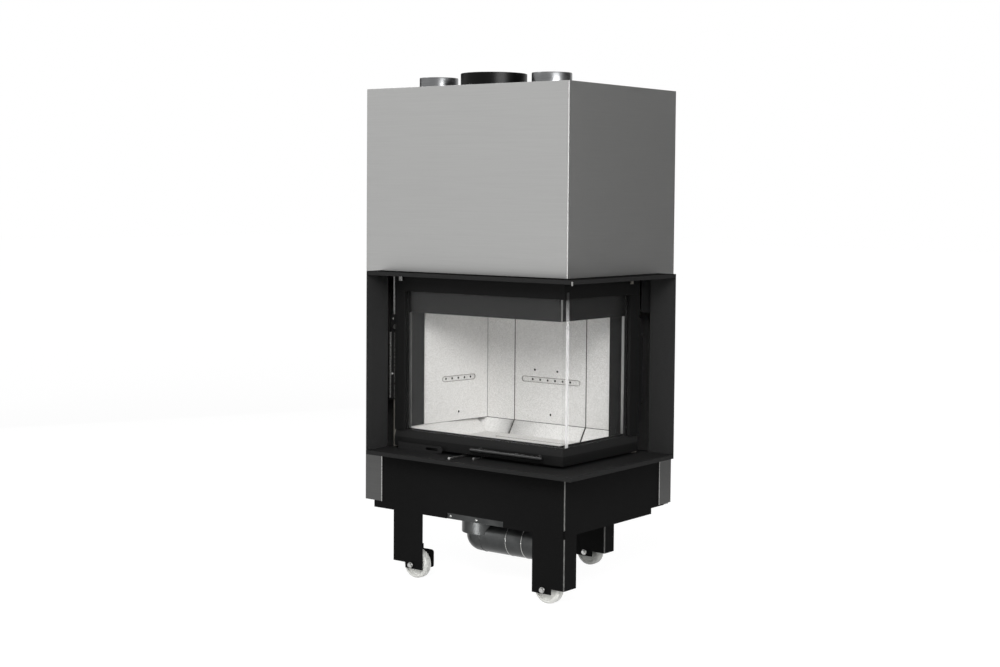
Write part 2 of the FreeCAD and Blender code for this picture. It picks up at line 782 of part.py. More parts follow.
def door_frame_parts():
    lengths = (door_front_length, door_side_length)
    pocket = (rail_wall, door_depth - rail_wall)
    bottom_section = [(0, door_bottom), (0, door_bottom + rail_face_height), (rail_slope_inset, rail_top),
                      (door_depth, rail_top), (door_depth, door_bottom)]
    bottom = corner_piece(bottom_section, door_corner, *lengths)
    bottom = bottom.cut(corner_piece(glass_slot(rail_top - glass_bite - slide_gap, rail_top + overrun),
                                     door_corner, *lengths))
    bottom = bottom.cut(corner_piece(rectangle(*pocket, door_bottom - overrun, door_bottom + rail_pocket),
                                     door_corner, *lengths))
    top = corner_piece(rectangle(0, door_depth, top_rail_bottom, door_top), door_corner, *lengths)
    top_slot = glass_slot(top_rail_bottom - overrun, top_rail_bottom + glass_bite + slide_gap)
    top = top.cut(corner_piece(top_slot, door_corner, *lengths))
    top = top.cut(corner_piece(rectangle(*pocket, door_top - top_rail_pocket, door_top + overrun),
                               door_corner, *lengths))

    panes = []
    stiles = []
    seals = []
    for length, width in ((door_front_length, left_stile_width), (door_side_length, right_stile_width)):
        end = x_door - length
        inner = end + width
        stile = box(end, inner, y_door, y_door + door_depth, rail_top, top_rail_bottom)
        slot = box(inner - glass_bite - slide_gap, inner + overrun, y_door + glass_setback - slide_gap,
                   y_door + glass_setback + glass_thickness + slide_gap, rail_top, top_rail_bottom)
        stiles.append(stile.cut(slot))
        pane_section = rectangle(glass_setback, glass_setback + glass_thickness, rail_top - glass_bite,
                                 top_rail_bottom + glass_bite)
        panes.append(mitred_front(pane_section, door_corner, length - width + glass_bite))
        seals.append(box(end + seal_width / 2, end + seal_width + seal_width / 2, y_door + door_depth,
                         y_door + door_depth + seal_width, rail_top, top_rail_bottom))
    return {
        "door_bottom_rail": bottom, "door_top_rail": top,
        "door_left_stile": stiles[0], "door_right_stile": turned_to_side(stiles[1], door_corner),
        "front_glass": panes[0], "side_glass": turned_to_side(panes[1], door_corner),
        "door_seals": group([seals[0], turned_to_side(seals[1], door_corner)]),
    }


def door_handle():
    z = door_bottom + handle_above_rail
    y = y_door - handle_standoff
    right = x_door - handle_from_corner
    bar = rod(handle_d, point(right - handle_length, y, z), point(1, 0, 0), handle_length)
    posts = [rod(handle_post_d, point(x, y, z), point(0, 1, 0), handle_standoff)
             for x in (right - handle_post_inset, right - handle_length + handle_post_inset)]
    return {"door_handle": joined([bar] + posts)}


def beside_door(side, out0, out1, depth0, depth1, z0, z1):
    """Block beside the free end of the door: distance outwards, then depth behind the door face."""
    if side == "left":
        return box(door_left - out1, door_left - out0, y_door + depth0, y_door + depth1, z0, z1)
    return box(x_door - depth1, x_door - depth0, door_rear + out0, door_rear + out1, z0, z1)


def cable_place(side):
    """Plan position of the cable stretch that carries one end of the door."""
    if side == "left":
        return door_left - cable_offset, y_door + cable_setback
    return x_door - cable_setback, door_rear + cable_offset


def carriage(side):
    bottom = z_shelf + carriage_from_shelf
    top = bottom + carriage_length
    clamp_bottom = top + clamp_gap
    clamp_out = cable_offset - clamp_width / 2
    body = beside_door(side, 0, carriage_width, carriage_setback, carriage_setback + carriage_depth, bottom,
                       top)
    groove = beside_door(side, guide_offset - slide_gap, guide_offset + guide_width + slide_gap,
                         guide_setback - slide_gap, carriage_setback + carriage_depth + overrun,
                         bottom - overrun, top + overrun)
    clamp = beside_door(side, clamp_out, clamp_out + clamp_width, clamp_setback, clamp_setback + clamp_depth,
                        clamp_bottom, clamp_bottom + clamp_height)
    neck_out = cable_offset - neck_width / 2
    neck = beside_door(side, neck_out, neck_out + neck_width, clamp_setback, clamp_setback + clamp_depth, top,
                       clamp_bottom)
    return joined([body.cut(groove), neck, clamp])


def pulley(side):
    x, y = cable_place(side)
    width = pulley_width / 2
    groove = cable_d / 2 + slide_gap
    axle = point(x - width, y + pulley_radius, z_pulley)
    disc = rod(2 * (pulley_radius + pulley_rim), axle, point(1, 0, 0), pulley_width)
    rope_path = Part.makeTorus(pulley_radius, groove, point(x, axle.y, axle.z), point(1, 0, 0))
    mouth = ring(2 * (pulley_radius + pulley_rim + overrun), 2 * pulley_radius,
                 point(x - groove, axle.y, axle.z), point(1, 0, 0), 2 * groove)
    bore = rod(pulley_shaft_d + 2 * running_gap, axle, point(1, 0, 0), pulley_width)
    return disc.cut(rope_path).cut(mouth).cut(bore)


def pulley_bracket(side):
    x, y = cable_place(side)
    y_axle = y + pulley_radius
    underside = z_top - sheet
    inner = pulley_width / 2 + bracket_cheek_gap
    outer = inner + bracket_cheek
    span = (y_axle - bracket_length / 2, y_axle + bracket_length / 2)
    cheeks = [box(x + start, x + end, *span, z_pulley - bracket_below_axle, underside)
              for start, end in ((-outer, -inner), (inner, outer))]
    web = box(x - outer, x + outer, *span, underside - bracket_cheek, underside)
    shaft = rod(pulley_shaft_d, point(x - pulley_shaft_length / 2, y_axle, z_pulley), point(1, 0, 0),
                pulley_shaft_length)
    return joined(cheeks + [web, shaft])


def cable_wrap(side):
    """Half turn of cable over the top of the pulley."""
    x, y = cable_place(side)
    start = Part.Face(Part.Wire(Part.makeCircle(cable_d / 2, point(x, y, z_pulley), point(0, 0, 1))))
    return start.revolve(point(x, y + pulley_radius, z_pulley), point(-1, 0, 0), 180)


def lift_parts():
    clamp_top = z_shelf + carriage_from_shelf + carriage_length + clamp_gap + clamp_height
    weight_top = z_pulley - weight_below_pulley
    up = point(0, 0, 1)
    parts = {}
    guides = []
    lift_cables = []
    for side in ("left", "right"):
        x, y = cable_place(side)
        y_weight = y + 2 * pulley_radius
        parts["door_carriage_" + side] = carriage(side)
        parts["pulley_" + side] = pulley(side)
        parts["counterweight_" + side] = box(x - weight_width / 2, x + weight_width / 2,
                                             y_weight - weight_depth / 2, y_weight + weight_depth / 2,
                                             weight_top - weight_height, weight_top)
        parts["weight_cable_" + side] = rod(cable_d, point(x, y_weight, weight_top), up, weight_below_pulley)
        guides.append(beside_door(side, guide_offset, guide_offset + guide_width, guide_setback,
                                  guide_setback + guide_depth, z_shelf, z_shelf + guide_length))
        lift_cables.append(rod(cable_d, point(x, y, clamp_top), up, z_pulley - clamp_top))
    parts["door_guides"] = group(guides)
    parts["lift_cables"] = group(lift_cables)
    parts["pulley_brackets"] = group([pulley_bracket(side) for side in ("left", "right")])
    parts["cable_wraps"] = group([cable_wrap(side) for side in ("left", "right")])
    return parts


def rod_height():
    return z_shelf + rod_above_shelf


def control_parts():
    left = x_left + slide_from_left
    right = left + slide_length
    front = y_door - slide_in_front
    foot = box(left, right - slide_height, front, front + slide_foot_depth, z_shelf, z_shelf + plate)
    web_bottom = z_shelf + plate
    middle = web_bottom + slide_height / 2
    web = joined([
        box(left, right - slide_height / 2, front, front + plate, web_bottom, web_bottom + slide_height),
        rod(slide_height, point(right - slide_height / 2, front, middle), point(0, 1, 0), plate),
    ])
    slot_x = right - finger_slot_inset - finger_slot_length / 2
    web = web.cut(long_slot(finger_slot_length, finger_slot_height, slot_x, front - overrun, middle,
                            plate + 2 * overrun))
    parts = {"air_slide": joined([foot, web])}
    for name, offset in rod_offsets.items():
        x = x_left + offset
        inner_end = y_sill + rod_inner_reaches[name]
        tip = y_door - rod_reaches[name]
        z = rod_height()
        parts["air_rod_" + name] = joined([
            rod(rod_d, point(x, tip, z), point(0, 1, 0), inner_end - tip),
            rod(rod_knob_d, point(x, tip - rod_knob_length, z), point(0, 1, 0), rod_knob_length),
        ])
    return parts


def carriage_screws():
    top = z_shelf + carriage_from_shelf + carriage_length
    x = door_left - cable_offset
    return {"carriage_screws": group([
        screw(x, y_door + carriage_setback, top - carriage_screw_from_top),
        screw(x, y_door + clamp_setback, top + clamp_gap + clamp_height / 2),
    ])}


def all_parts():
    makers = (casing_parts, collar_parts, frame_parts, base_parts, wheel_parts, inlet_parts, firebox_parts,
              lining_parts, door_frame_parts, door_handle, lift_parts, control_parts, carriage_screws)
    parts = {}
    for maker in makers:
        parts.update(maker())
    return parts


for node, shape in all_parts().items():
    shape.exportStep("parts/" + node + ".step")
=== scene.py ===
"""Looks of a two-sided fireplace insert with a lift-up glass door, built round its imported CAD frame."""

import logging
import math
from dataclasses import dataclass
from enum import Enum
from typing import Callable, Iterable, Sequence

import bmesh
import bpy
from bmesh.types import BMEdge, BMesh, BMFace, BMVert
from bpy.types import Material, Node, NodeTree, Object
from mathutils import Matrix, Vector


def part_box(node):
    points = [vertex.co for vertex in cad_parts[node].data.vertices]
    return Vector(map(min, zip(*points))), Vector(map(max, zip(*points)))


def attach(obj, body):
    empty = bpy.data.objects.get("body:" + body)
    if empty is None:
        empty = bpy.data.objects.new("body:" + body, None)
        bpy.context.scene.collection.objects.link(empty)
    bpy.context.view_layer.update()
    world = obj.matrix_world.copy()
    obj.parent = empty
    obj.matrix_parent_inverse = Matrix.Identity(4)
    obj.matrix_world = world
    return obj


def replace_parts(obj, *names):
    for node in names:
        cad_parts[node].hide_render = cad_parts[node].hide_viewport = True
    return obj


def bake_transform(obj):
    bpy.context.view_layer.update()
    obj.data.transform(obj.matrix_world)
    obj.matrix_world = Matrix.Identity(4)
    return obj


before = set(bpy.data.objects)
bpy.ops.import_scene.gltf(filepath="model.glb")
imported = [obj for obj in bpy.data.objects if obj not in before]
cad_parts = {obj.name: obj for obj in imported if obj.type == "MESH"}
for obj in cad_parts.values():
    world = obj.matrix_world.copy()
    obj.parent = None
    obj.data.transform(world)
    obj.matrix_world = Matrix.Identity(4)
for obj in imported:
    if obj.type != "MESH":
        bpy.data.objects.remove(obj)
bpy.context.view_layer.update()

LOG = logging.getLogger("fireplace_insert")
MM = 0.001
MERGE = 0.01 * MM
FLAT = math.radians(1.0)
SHARP = math.radians(35.0)
SMOOTH = math.radians(21.0)
UP = Vector((0, 0, 1))
ALONG_X = Vector((1, 0, 0))
ALONG_Y = Vector((0, 1, 0))

Place = tuple[float, float, float]
Pair = tuple[float, float]
Profile = Sequence[Pair]
FaceTest = Callable[[BMFace], bool]

# Cloud patterns: detail, roughness, the part of their range in use, and the strength of their relief.
CLOUD_DETAIL = 4.0
CLOUD_ROUGHNESS = 0.6
CLOUD_RANGE = {"From Min": 0.3, "From Max": 0.7}
RELIEF_STRENGTH = 0.5
CELL_SHARE = 0.5
# Glass: how fast its mirror grows with the slant, and the size in millimetres and depth of its smears.
MIRROR_POWER = 5.0
SMEAR_SIZE = 60.0
SMEAR_DETAIL = 3.0
SMEAR_DEPTH = 0.3
# Ropes: steps of one full twist, sides of a strand and of the core, and a strand's share of the radius.
TWIST_STEPS = 12
STRAND_SIDES = 6
CORE_SIDES = 10
STRAND_SHARE = 0.36
# Hexagon heads: the washer's share of the height, and the share of the radius that the corners lose.
WASHER_SHARE = 0.22
CHAMFER_SHARE = 0.13
# Outlines in shares of a head's radius, and of the height of the washer or the pan head.
WASHER_OUTLINE: Profile = ((0, 0), (1.14, 0), (1.14, 0.7), (1.1, 1), (0, 1))
PAN_OUTLINE: Profile = ((0, 0), (1, 0), (1, 0.35), (0.86, 0.75), (0.6, 1), (0.34, 1), (0.3, 0.45), (0, 0.4))
# Half of the wheel's outline from its hub to its tread: radius and distance from the middle in millimetres.
WHEEL_OUTLINE: Profile = ((13, 12), (15, 10.5), (29, 9.5), (32, 11), (33.5, 15), (35, 15), (38.1, 14.4),
                          (40.7, 12.7), (42.4, 10.1), (43, 7))


class Body(Enum):
    """CAD bodies that new pieces ride on."""

    STOVE = "stove_body"
    DOOR = "door"
    WEIGHT_LEFT = "counterweight_left"
    WEIGHT_RIGHT = "counterweight_right"
    WHEEL_FRONT_LEFT = "wheel_front_left"
    WHEEL_FRONT_RIGHT = "wheel_front_right"
    WHEEL_REAR_LEFT = "wheel_rear_left"
    WHEEL_REAR_RIGHT = "wheel_rear_right"
    AIR_SLIDE = "air_slide"


class Slot(Enum):
    """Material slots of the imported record."""

    STAINLESS = "stainless"
    BLACK_STEEL = "black_steel"
    GALVANISED = "galvanised"
    BOILER_STEEL = "boiler_steel"
    BRIGHT_STEEL = "bright_steel"
    CAST_WEIGHT = "cast_weight"
    FIRE_GLASS = "fire_glass"
    VERMICULITE = "vermiculite"
    NYLON = "nylon"
    ROPE_SEAL = "rope_seal"


def linear(code: str) -> tuple[float, float, float, float]:
    """Turn an sRGB hex colour into linear light.

    Args:
        code: Colour written as "#rrggbb".

    Returns:
        Red, green, blue and an alpha of one.
    """
    parts = [int(code[i:i + 2], 16) / 255 for i in (1, 3, 5)]
    lin = [p / 12.92 if p <= 0.04045 else ((p + 0.055) / 1.055) ** 2.4 for p in parts]
    return (lin[0], lin[1], lin[2], 1.0)


def add(tree: NodeTree, kind: str, values: dict | None = None, links: dict | None = None,
        **settings) -> Node:
    """Add one shader node.

    Args:
        tree: Node tree that gets the node.
        kind: Blender's name of the node type, without the words that all of them start with.
        values: Socket values by socket name or number.
        links: Sockets fed by a pair of node and output name.
        **settings: Attributes of the node itself.

    Returns:
        The new node.
    """
    node = tree.nodes.new("ShaderNode" + kind)
    for key, value in settings.items():
        setattr(node, key, value)
    for key, value in (values or {}).items():
        node.inputs[key].default_value = value
    for key, (source, output) in (links or {}).items():
        tree.links.new(source.outputs[output], node.inputs[key])
    return node


def per_mm(size: float) -> float:
    """Return the pattern scale that gives features of this many millimetres."""
    return 1 / (size * MM)


@dataclass(frozen=True)
class Finish:
    """A real material and how its surface was made."""

    name: str

    def surface(self, tree: NodeTree) -> Node:
        """Build the shader and return its last node."""
        raise NotImplementedError

    def material(self) -> Material:
        """Return the Blender material, made on first use."""
        made = bpy.data.materials.get(self.name)
        if made is None:
            made = bpy.data.materials.new(self.name)
            made.use_nodes = True
            tree = made.node_tree
            tree.nodes.clear()
            add(tree, "OutputMaterial", links={"Surface": (self.surface(tree), 0)})
        return made


@dataclass(frozen=True)
class Grained(Finish):
    """Surface with two tones, mixed by a cloud of a real grain size in millimetres, and a fine relief.

    An upright size above zero stretches or flattens the grain.
    """

    dark: str
    light: str
    roughness: Pair
    metallic: float
    specular: float
    grain: float
    relief: float
    upright: float = 0.0

    def pattern(self, tree: NodeTree) -> Node:
        """Return the cloud whose features have the grain size along each axis."""
        place = add(tree, "TexCoord")
        level = per_mm(self.grain)
        scale = (level, level, per_mm(self.upright or self.grain))
        scaled = add(tree, "Mapping", {"Scale": scale}, {"Vector": (place, "Object")})
        return add(tree, "TexNoise", {"Scale": 1.0, "Detail": CLOUD_DETAIL, "Roughness": CLOUD_ROUGHNESS},
                   {"Vector": (scaled, 0)})

    def surface(self, tree: NodeTree) -> Node:
        """Build the grained shader."""
        cloud = self.pattern(tree)
        spread = add(tree, "MapRange", CLOUD_RANGE, {"Value": (cloud, 0)})
        tone = add(tree, "Mix", {6: linear(self.dark), 7: linear(self.light)}, {"Factor": (spread, 0)},
                   data_type="RGBA")
        gloss = add(tree, "MapRange", {"To Min": self.roughness[0], "To Max": self.roughness[1]},
                    {"Value": (spread, 0)})
        bump = add(tree, "Bump", {"Strength": RELIEF_STRENGTH, "Distance": self.relief * MM},
                   {"Height": (cloud, 0)})
        return add(tree, "BsdfPrincipled", {"Metallic": self.metallic, "Specular IOR Level": self.specular},
                   {"Base Color": (tone, 2), "Roughness": (gloss, 0), "Normal": (bump, 0)})


@dataclass(frozen=True)
class Crystalline(Grained):
    """Surface broken into flat cells, as zinc spangle or pressed flakes."""

    cell: float = 10.0

    def pattern(self, tree: NodeTree) -> Node:
        """Return cells of the real size, each with a tone of its own, over a fine cloud."""
        place = add(tree, "TexCoord")
        cells = add(tree, "TexVoronoi", {"Scale": per_mm(self.cell)}, {"Vector": (place, "Object")})
        tones = add(tree, "SeparateColor", links={"Color": (cells, "Color")})
        cloud = add(tree, "TexNoise", {"Scale": per_mm(self.grain), "Detail": CLOUD_DETAIL},
                    {"Vector": (place, "Object")})
        return add(tree, "Mix", {"Factor": CELL_SHARE}, {2: (tones, 0), 3: (cloud, 0)}, data_type="FLOAT")


@dataclass(frozen=True)
class ClearGlass(Finish):
    """Heat-proof glass ceramic: clear, with a faint grey tint, mirror-like reflections and a pale diffuse
    veil: faint bloom on the panes, and a painted highlight on the corner strip.

    The veil fades out between two heights in millimetres where the second is above zero.
    """

    tint: str
    roughness: float
    veil: float
    veil_tone: str
    mirror: float
    fade: Pair = (0.0, 0.0)

    def surface(self, tree: NodeTree) -> Node:
        """Build the glass from a clear part, its reflection and the veil."""
        clear = add(tree, "BsdfTransparent", {"Color": linear(self.tint)})
        shine = add(tree, "BsdfGlossy", {"Roughness": self.roughness})
        slant = add(tree, "LayerWeight", {"Blend": 0.5})
        steep = add(tree, "Math", {1: MIRROR_POWER}, {0: (slant, "Facing")}, operation="POWER")
        edge = add(tree, "Math", {1: 1 - self.mirror, 2: self.mirror}, {0: (steep, 0)},
                   operation="MULTIPLY_ADD")
        glass = add(tree, "MixShader", links={0: (edge, 0), 1: (clear, 0), 2: (shine, 0)})
        bloom = add(tree, "BsdfDiffuse", {"Color": linear(self.veil_tone)})
        place = add(tree, "TexCoord")
        smear = add(tree, "TexNoise", {"Scale": per_mm(SMEAR_SIZE), "Detail": SMEAR_DETAIL},
                    {"Vector": (place, "Object")})
        thin, thick = self.veil * (1 - SMEAR_DEPTH), self.veil * (1 + SMEAR_DEPTH)
        film = add(tree, "MapRange", {"To Min": thin, "To Max": thick}, {"Value": (smear, 0)})
        if self.fade[1] > 0:
            axes = add(tree, "SeparateXYZ", links={0: (place, "Object")})
            part = add(tree, "MapRange", {"From Min": self.fade[1] * MM, "From Max": self.fade[0] * MM},
                       {"Value": (axes, "Z")})
            film = add(tree, "Math", links={0: (film, 0), 1: (part, 0)}, operation="MULTIPLY")
        return add(tree, "MixShader", links={0: (film, 0), 1: (glass, 0), 2: (bloom, 0)})


# Stainless sheet, brushed level: long soft streaks, drawn 1.5 mm high so that they show.
BRUSHED_SHEET = Grained("brushed_stainless_sheet", "#a3a3a2", "#a9a9a8", (0.34, 0.4), 0.92, 0.5,
                        180.0, 0.008, 1.5)
# The sheet's bend: a darker, rougher copy of the sheet that dims the lamp's highlight there: painted shade.
BEND_SHADED_SHEET = Grained("stainless_bend_painted_shade", "#8c8c8b", "#969695", (0.55, 0.65), 0.9, 0.5,
                     180.0, 0.008, 1.5)
# The lower strips: the same sheet painted darker, as painted shade under the shelf's lip.
STRIP_SHADED_SHEET = Grained("stainless_strip_painted_shade", "#525252", "#5a5a59", (0.42, 0.52), 0.9, 0.5,
                     180.0, 0.012, 1.5)
# Stove paint sprayed on sheet steel: dead matt black with a fine grit.
FRAME_PAINT = Grained("black_stove_paint", "#191919", "#212121", (0.55, 0.66), 0.0, 0.08, 2.2, 0.06)
JAMB_PAINT = Grained("black_stove_paint_flat", "#222222", "#2a2a2a", (0.6, 0.72), 0.0, 0.1, 2.2, 0.06)
# Primer under it, on the base: deeper black with a coarser grit.
BASE_PAINT = Grained("black_primer_paint", "#0c0c0c", "#121212", (0.56, 0.68), 0.0, 0.03, 2.6, 0.08)
# Baked door enamel: black and smooth, with a weak sheen.
DOOR_ENAMEL = Grained("black_door_enamel", "#141414", "#181818", (0.34, 0.44), 0.0, 0.04, 3.0, 0.03)
# Stove paint darkened to deep black without any gloss, for the lintel's top: painted shadow under the
# casing's edge.
SHADOWED_TOP_PAINT = Grained("stove_paint_painted_shadow", "#020202", "#050505", (0.9, 0.98), 0.0, 0.02, 2.2, 0.06)
# Heat-proof flue enamel: black with a soft sheen.
FLUE_ENAMEL = Grained("black_flue_enamel", "#050505", "#080808", (0.3, 0.4), 0.0, 0.1, 3.0, 0.03)
# The handle's smoother black enamel, which shows a line of light.
HANDLE_ENAMEL = Grained("black_handle_enamel", "#0c0c0c", "#131313", (0.2, 0.28), 0.0, 0.4, 3.0, 0.02)
# Pale half-metallic paint along the base's bends: a painted highlight on the fold.
BEND_HIGHLIGHT_PAINT = Grained("primer_bend_painted_highlight", "#3c3c3b", "#6a6a68", (0.4, 0.5), 0.4, 0.3, 3.0, 0.04, 14.0)
# Hot-rolled boiler plate under dark heat paint, with cloudy mill scale.
BOILER_PLATE = Grained("rolled_boiler_plate", "#101010", "#181817", (0.5, 0.66), 0.0, 0.1, 26.0, 0.08)
# Pale steel strips on that plate's edges and at the deflector's bend: painted highlights.
EDGE_HIGHLIGHT_STEEL = Grained("plate_edge_painted_highlight", "#8a8a88", "#a8a8a6", (0.3, 0.42), 0.7, 0.5, 4.0, 0.01, 22.0)
# Passivated zinc on the guide rails: dull and slightly yellow.
DULL_ZINC = Grained("passivated_zinc_rail", "#5d5a55", "#716e68", (0.45, 0.6), 0.15, 0.3, 6.0, 0.02, 40.0)
# Zinc-plated small steel parts: pale grey and bright.
ZINC_PLATE = Grained("zinc_plated_steel", "#a6a6a4", "#c4c4c2", (0.24, 0.36), 1.0, 0.5, 5.0, 0.01)
# Sand-cast iron: dark and pitted.
CAST_IRON = Grained("sand_cast_iron", "#1c1c1d", "#303031", (0.6, 0.8), 0.6, 0.4, 3.0, 0.3)
# Moulded nylon: off-white with a waxy gloss.
NYLON = Grained("moulded_nylon", "#bebeba", "#cececa", (0.36, 0.46), 0.0, 0.45, 9.0, 0.02)
# Glass-fibre sealing rope: charcoal and dull.
FIBRE_ROPE = Grained("glass_fibre_rope", "#1d1d1d", "#343434", (0.85, 0.95), 0.0, 0.2, 1.2, 0.15)
# Hot-dip galvanised sheet: pale cells of zinc spangle, 9 mm across.
GALVANISED = Crystalline("galvanised_sheet", "#757677", "#868788", (0.24, 0.34), 0.95, 0.5, 2.0, 0.003,
                         cell=9.0)
# Spun zinc-coated collar: bright and smooth, with fine rings from turning.
SPUN_ZINC = Grained("spun_zinc_collar", "#6a6b6c", "#747576", (0.26, 0.34), 0.96, 0.5, 60.0, 0.004, 1.2)
# Drawn zinc-coated pipe: darker and smoother than the sheet.
ZINC_PIPE = Grained("zinc_coated_pipe", "#393a3a", "#464747", (0.28, 0.4), 0.95, 0.5, 46.0, 0.01)
# Pressed vermiculite board: pale warm grey flakes, 2.5 mm across.
VERMICULITE = Crystalline("pressed_vermiculite_board", "#d6d5d2", "#eae9e7", (0.85, 0.95), 0.0, 0.2,
                          0.9, 0.12, cell=2.5)
# Dark joints between the boards, and painted shade in their holes, the hearth's groove and the rear corner:
# dull grey lines. The lighter grey is painted shade round the rims of the recesses.
SOOT_AND_SHADE = Grained("board_joints_and_painted_shade", "#3a3936", "#5c5b57", (0.9, 0.98), 0.0, 0.1, 2.0, 0.1)
RIM_SHADE = Grained("recess_rim_painted_shade", "#77756f", "#95938c", (0.9, 0.98), 0.0, 0.1, 3.0, 0.1)
# Glass ceramic pane: clear, with a weak mirror.
FIRE_GLASS = ClearGlass("glass_ceramic_pane", "#fbfbfb", 0.02, 0.004, "#ffffff", 0.014)
# A pale line beside the glass corner that fades out towards the top: a painted highlight of the curved
# corner.
CORNER_HIGHLIGHT_GLASS = ClearGlass("glass_corner_painted_highlight", "#fbfbfb", 0.25, 0.3, "#ffffff", 0.04, (745.0, 865.0))
# The same painted highlight, dimmer, where it lies over the black rail.
DIM_CORNER_HIGHLIGHT = Grained("glass_corner_painted_highlight_dim", "#1a1a1a", "#262626", (0.3, 0.4), 0.0, 0.4, 4.0, 0.02, 12.0)

Finishes = Finish | Sequence[Finish]
CAD_FINISHES: dict[Finish, str] = {
    BRUSHED_SHEET: "casing_top",
    GALVANISED: "base_tray",
    BOILER_PLATE: "smoke_dome",
    ZINC_PLATE: "pulley_left pulley_right air_rod_primary air_rod_secondary",
    FIRE_GLASS: "front_glass side_glass",
}


def box_mm(node: str) -> list[Vector]:
    """Return the lowest and the highest corner of a CAD node in millimetres."""
    return [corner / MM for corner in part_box(node)]


def edges_of(verts: Iterable[BMVert]) -> list[BMEdge]:
    """Return the edges that meet these vertices."""
    return list({e for v in verts for e in v.link_edges})


def fresh(bm: BMesh, before: set[BMVert]) -> list[BMVert]:
    """Return the vertices that were added since."""
    return [v for v in bm.verts if v not in before]


def only(kind: type, items: Iterable) -> list:
    """Return the items of one mesh element type."""
    return [item for item in items if isinstance(item, kind)]


def faces_up(share: float) -> FaceTest:
    """Return a test for faces whose normal rises by more than this share."""
    return lambda face: face.normal.z > share


def on_bend(slant: float) -> FaceTest:
    """Return a test for faces of an outer upright bend, whose normal has more than this share both ways."""
    return lambda face: face.normal.x > slant and face.normal.y < -slant


def piece(bm: BMesh, name: str, finishes: Finishes, stands_for: Iterable[str] = (),
          body: Body | None = Body.STOVE) -> Object:
    """Turn a finished bmesh into a piece of the object.

    Args:
        bm: Mesh in the shared frame, freed here.
        name: Name of the piece.
        finishes: Finish, or one finish for each material number of the mesh.
        stands_for: CAD nodes that the piece replaces.
        body: CAD body that the piece rides on, or None where it is blended later.

    Returns:
        The new object.
    """
    mesh = bpy.data.meshes.new(name)
    bm.to_mesh(mesh)
    bm.free()
    mesh.polygons.foreach_set("use_smooth", [True] * len(mesh.polygons))
    mesh.set_sharp_from_angle(angle=SMOOTH)
    for finish in [finishes] if isinstance(finishes, Finish) else finishes:
        mesh.materials.append(finish.material())
    made = bpy.data.objects.new(name, mesh)
    bpy.context.scene.collection.objects.link(made)
    if body is not None:
        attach(made, body.value)
    if stands_for:
        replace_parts(made, *stands_for)
    LOG.info("%s: %d faces, rides on %s", name, len(mesh.polygons), body.value if body else "two bodies")
    return made


def bevelled(bm: BMesh, edges: list[BMEdge], width: float) -> None:
    """Round edges by a width in metres."""
    bmesh.ops.bevel(bm, geom=edges, offset=width, offset_type="OFFSET", segments=2, profile=0.5,
                    affect="EDGES", clamp_overlap=True, material=-1)


def sharp_edges(bm: BMesh) -> list[BMEdge]:
    """Return the edges where two faces meet at a clear angle."""
    return [e for e in bm.edges if len(e.link_faces) == 2 and e.calc_face_angle(0) > SHARP]


def placed(bm: BMesh, verts: list[BMVert], origin: Sequence[float], axis: Vector) -> None:
    """Turn new geometry from +Z to an axis and move it to its place.

    Args:
        bm: Mesh that holds the geometry.
        verts: Vertices to move.
        origin: Where the local origin goes, in millimetres.
        axis: Where the local +Z axis points.
    """
    turn = UP.rotation_difference(axis).to_matrix().to_4x4()
    bmesh.ops.transform(bm, matrix=Matrix.Translation(Vector(origin) * MM) @ turn, verts=verts)


def block(bm: BMesh, low: Sequence[float], high: Sequence[float], edge: float) -> None:
    """Add a block with rounded edges.

    Args:
        bm: Mesh that gets the block.
        low: Lowest corner in millimetres.
        high: Highest corner in millimetres.
        edge: Width of the rounded edges in millimetres.
    """
    low_v, high_v = Vector(low) * MM, Vector(high) * MM
    made = bmesh.ops.create_cube(bm, size=1.0)["verts"]
    bmesh.ops.scale(bm, vec=high_v - low_v, verts=made)
    bmesh.ops.translate(bm, vec=(low_v + high_v) / 2, verts=made)
    bevelled(bm, edges_of(made), edge * MM)


def bar(bm: BMesh, start: Vector, end: Vector, width: float) -> None:
    """Add a thin square bar.

    Args:
        bm: Mesh that gets the bar.
        start: One end of the centre line in millimetres.
        end: The other end in millimetres.
        width: Side of the square in millimetres.
    """
    along = end - start
    made = bmesh.ops.create_cube(bm, size=1.0)["verts"]
    bmesh.ops.scale(bm, vec=Vector((width, width, along.length)) * MM, verts=made)
    bmesh.ops.translate(bm, vec=(0, 0, along.length / 2 * MM), verts=made)
    placed(bm, made, start, along.normalized())


def turned(bm: BMesh, profile: Profile, origin: Sequence[float], axis: Vector, steps: int,
           closed: bool = False) -> None:
    """Add a turned shape.

    Args:
        bm: Mesh that gets the shape.
        profile: Radius and height points in millimetres.
        origin: Where the profile's zero lies, in millimetres.
        axis: Turning axis.
        steps: Sides of the full turn.
        closed: Whether the last point joins the first, as on a ring.
    """
    before = set(bm.verts)
    line = [bm.verts.new((r * MM, 0, h * MM)) for r, h in profile]
    ends = line[1:] + line[:1] if closed else line[1:]
    edges = [bm.edges.new(pair) for pair in zip(line, ends)]
    bmesh.ops.spin(bm, geom=line + edges, cent=(0, 0, 0), axis=UP, angle=math.tau, steps=steps,
                   use_merge=True)
    bmesh.ops.remove_doubles(bm, verts=fresh(bm, before), dist=MERGE)
    made = fresh(bm, before)
    bmesh.ops.recalc_face_normals(bm, faces=list({f for v in made for f in v.link_faces}))
    placed(bm, made, origin, axis)


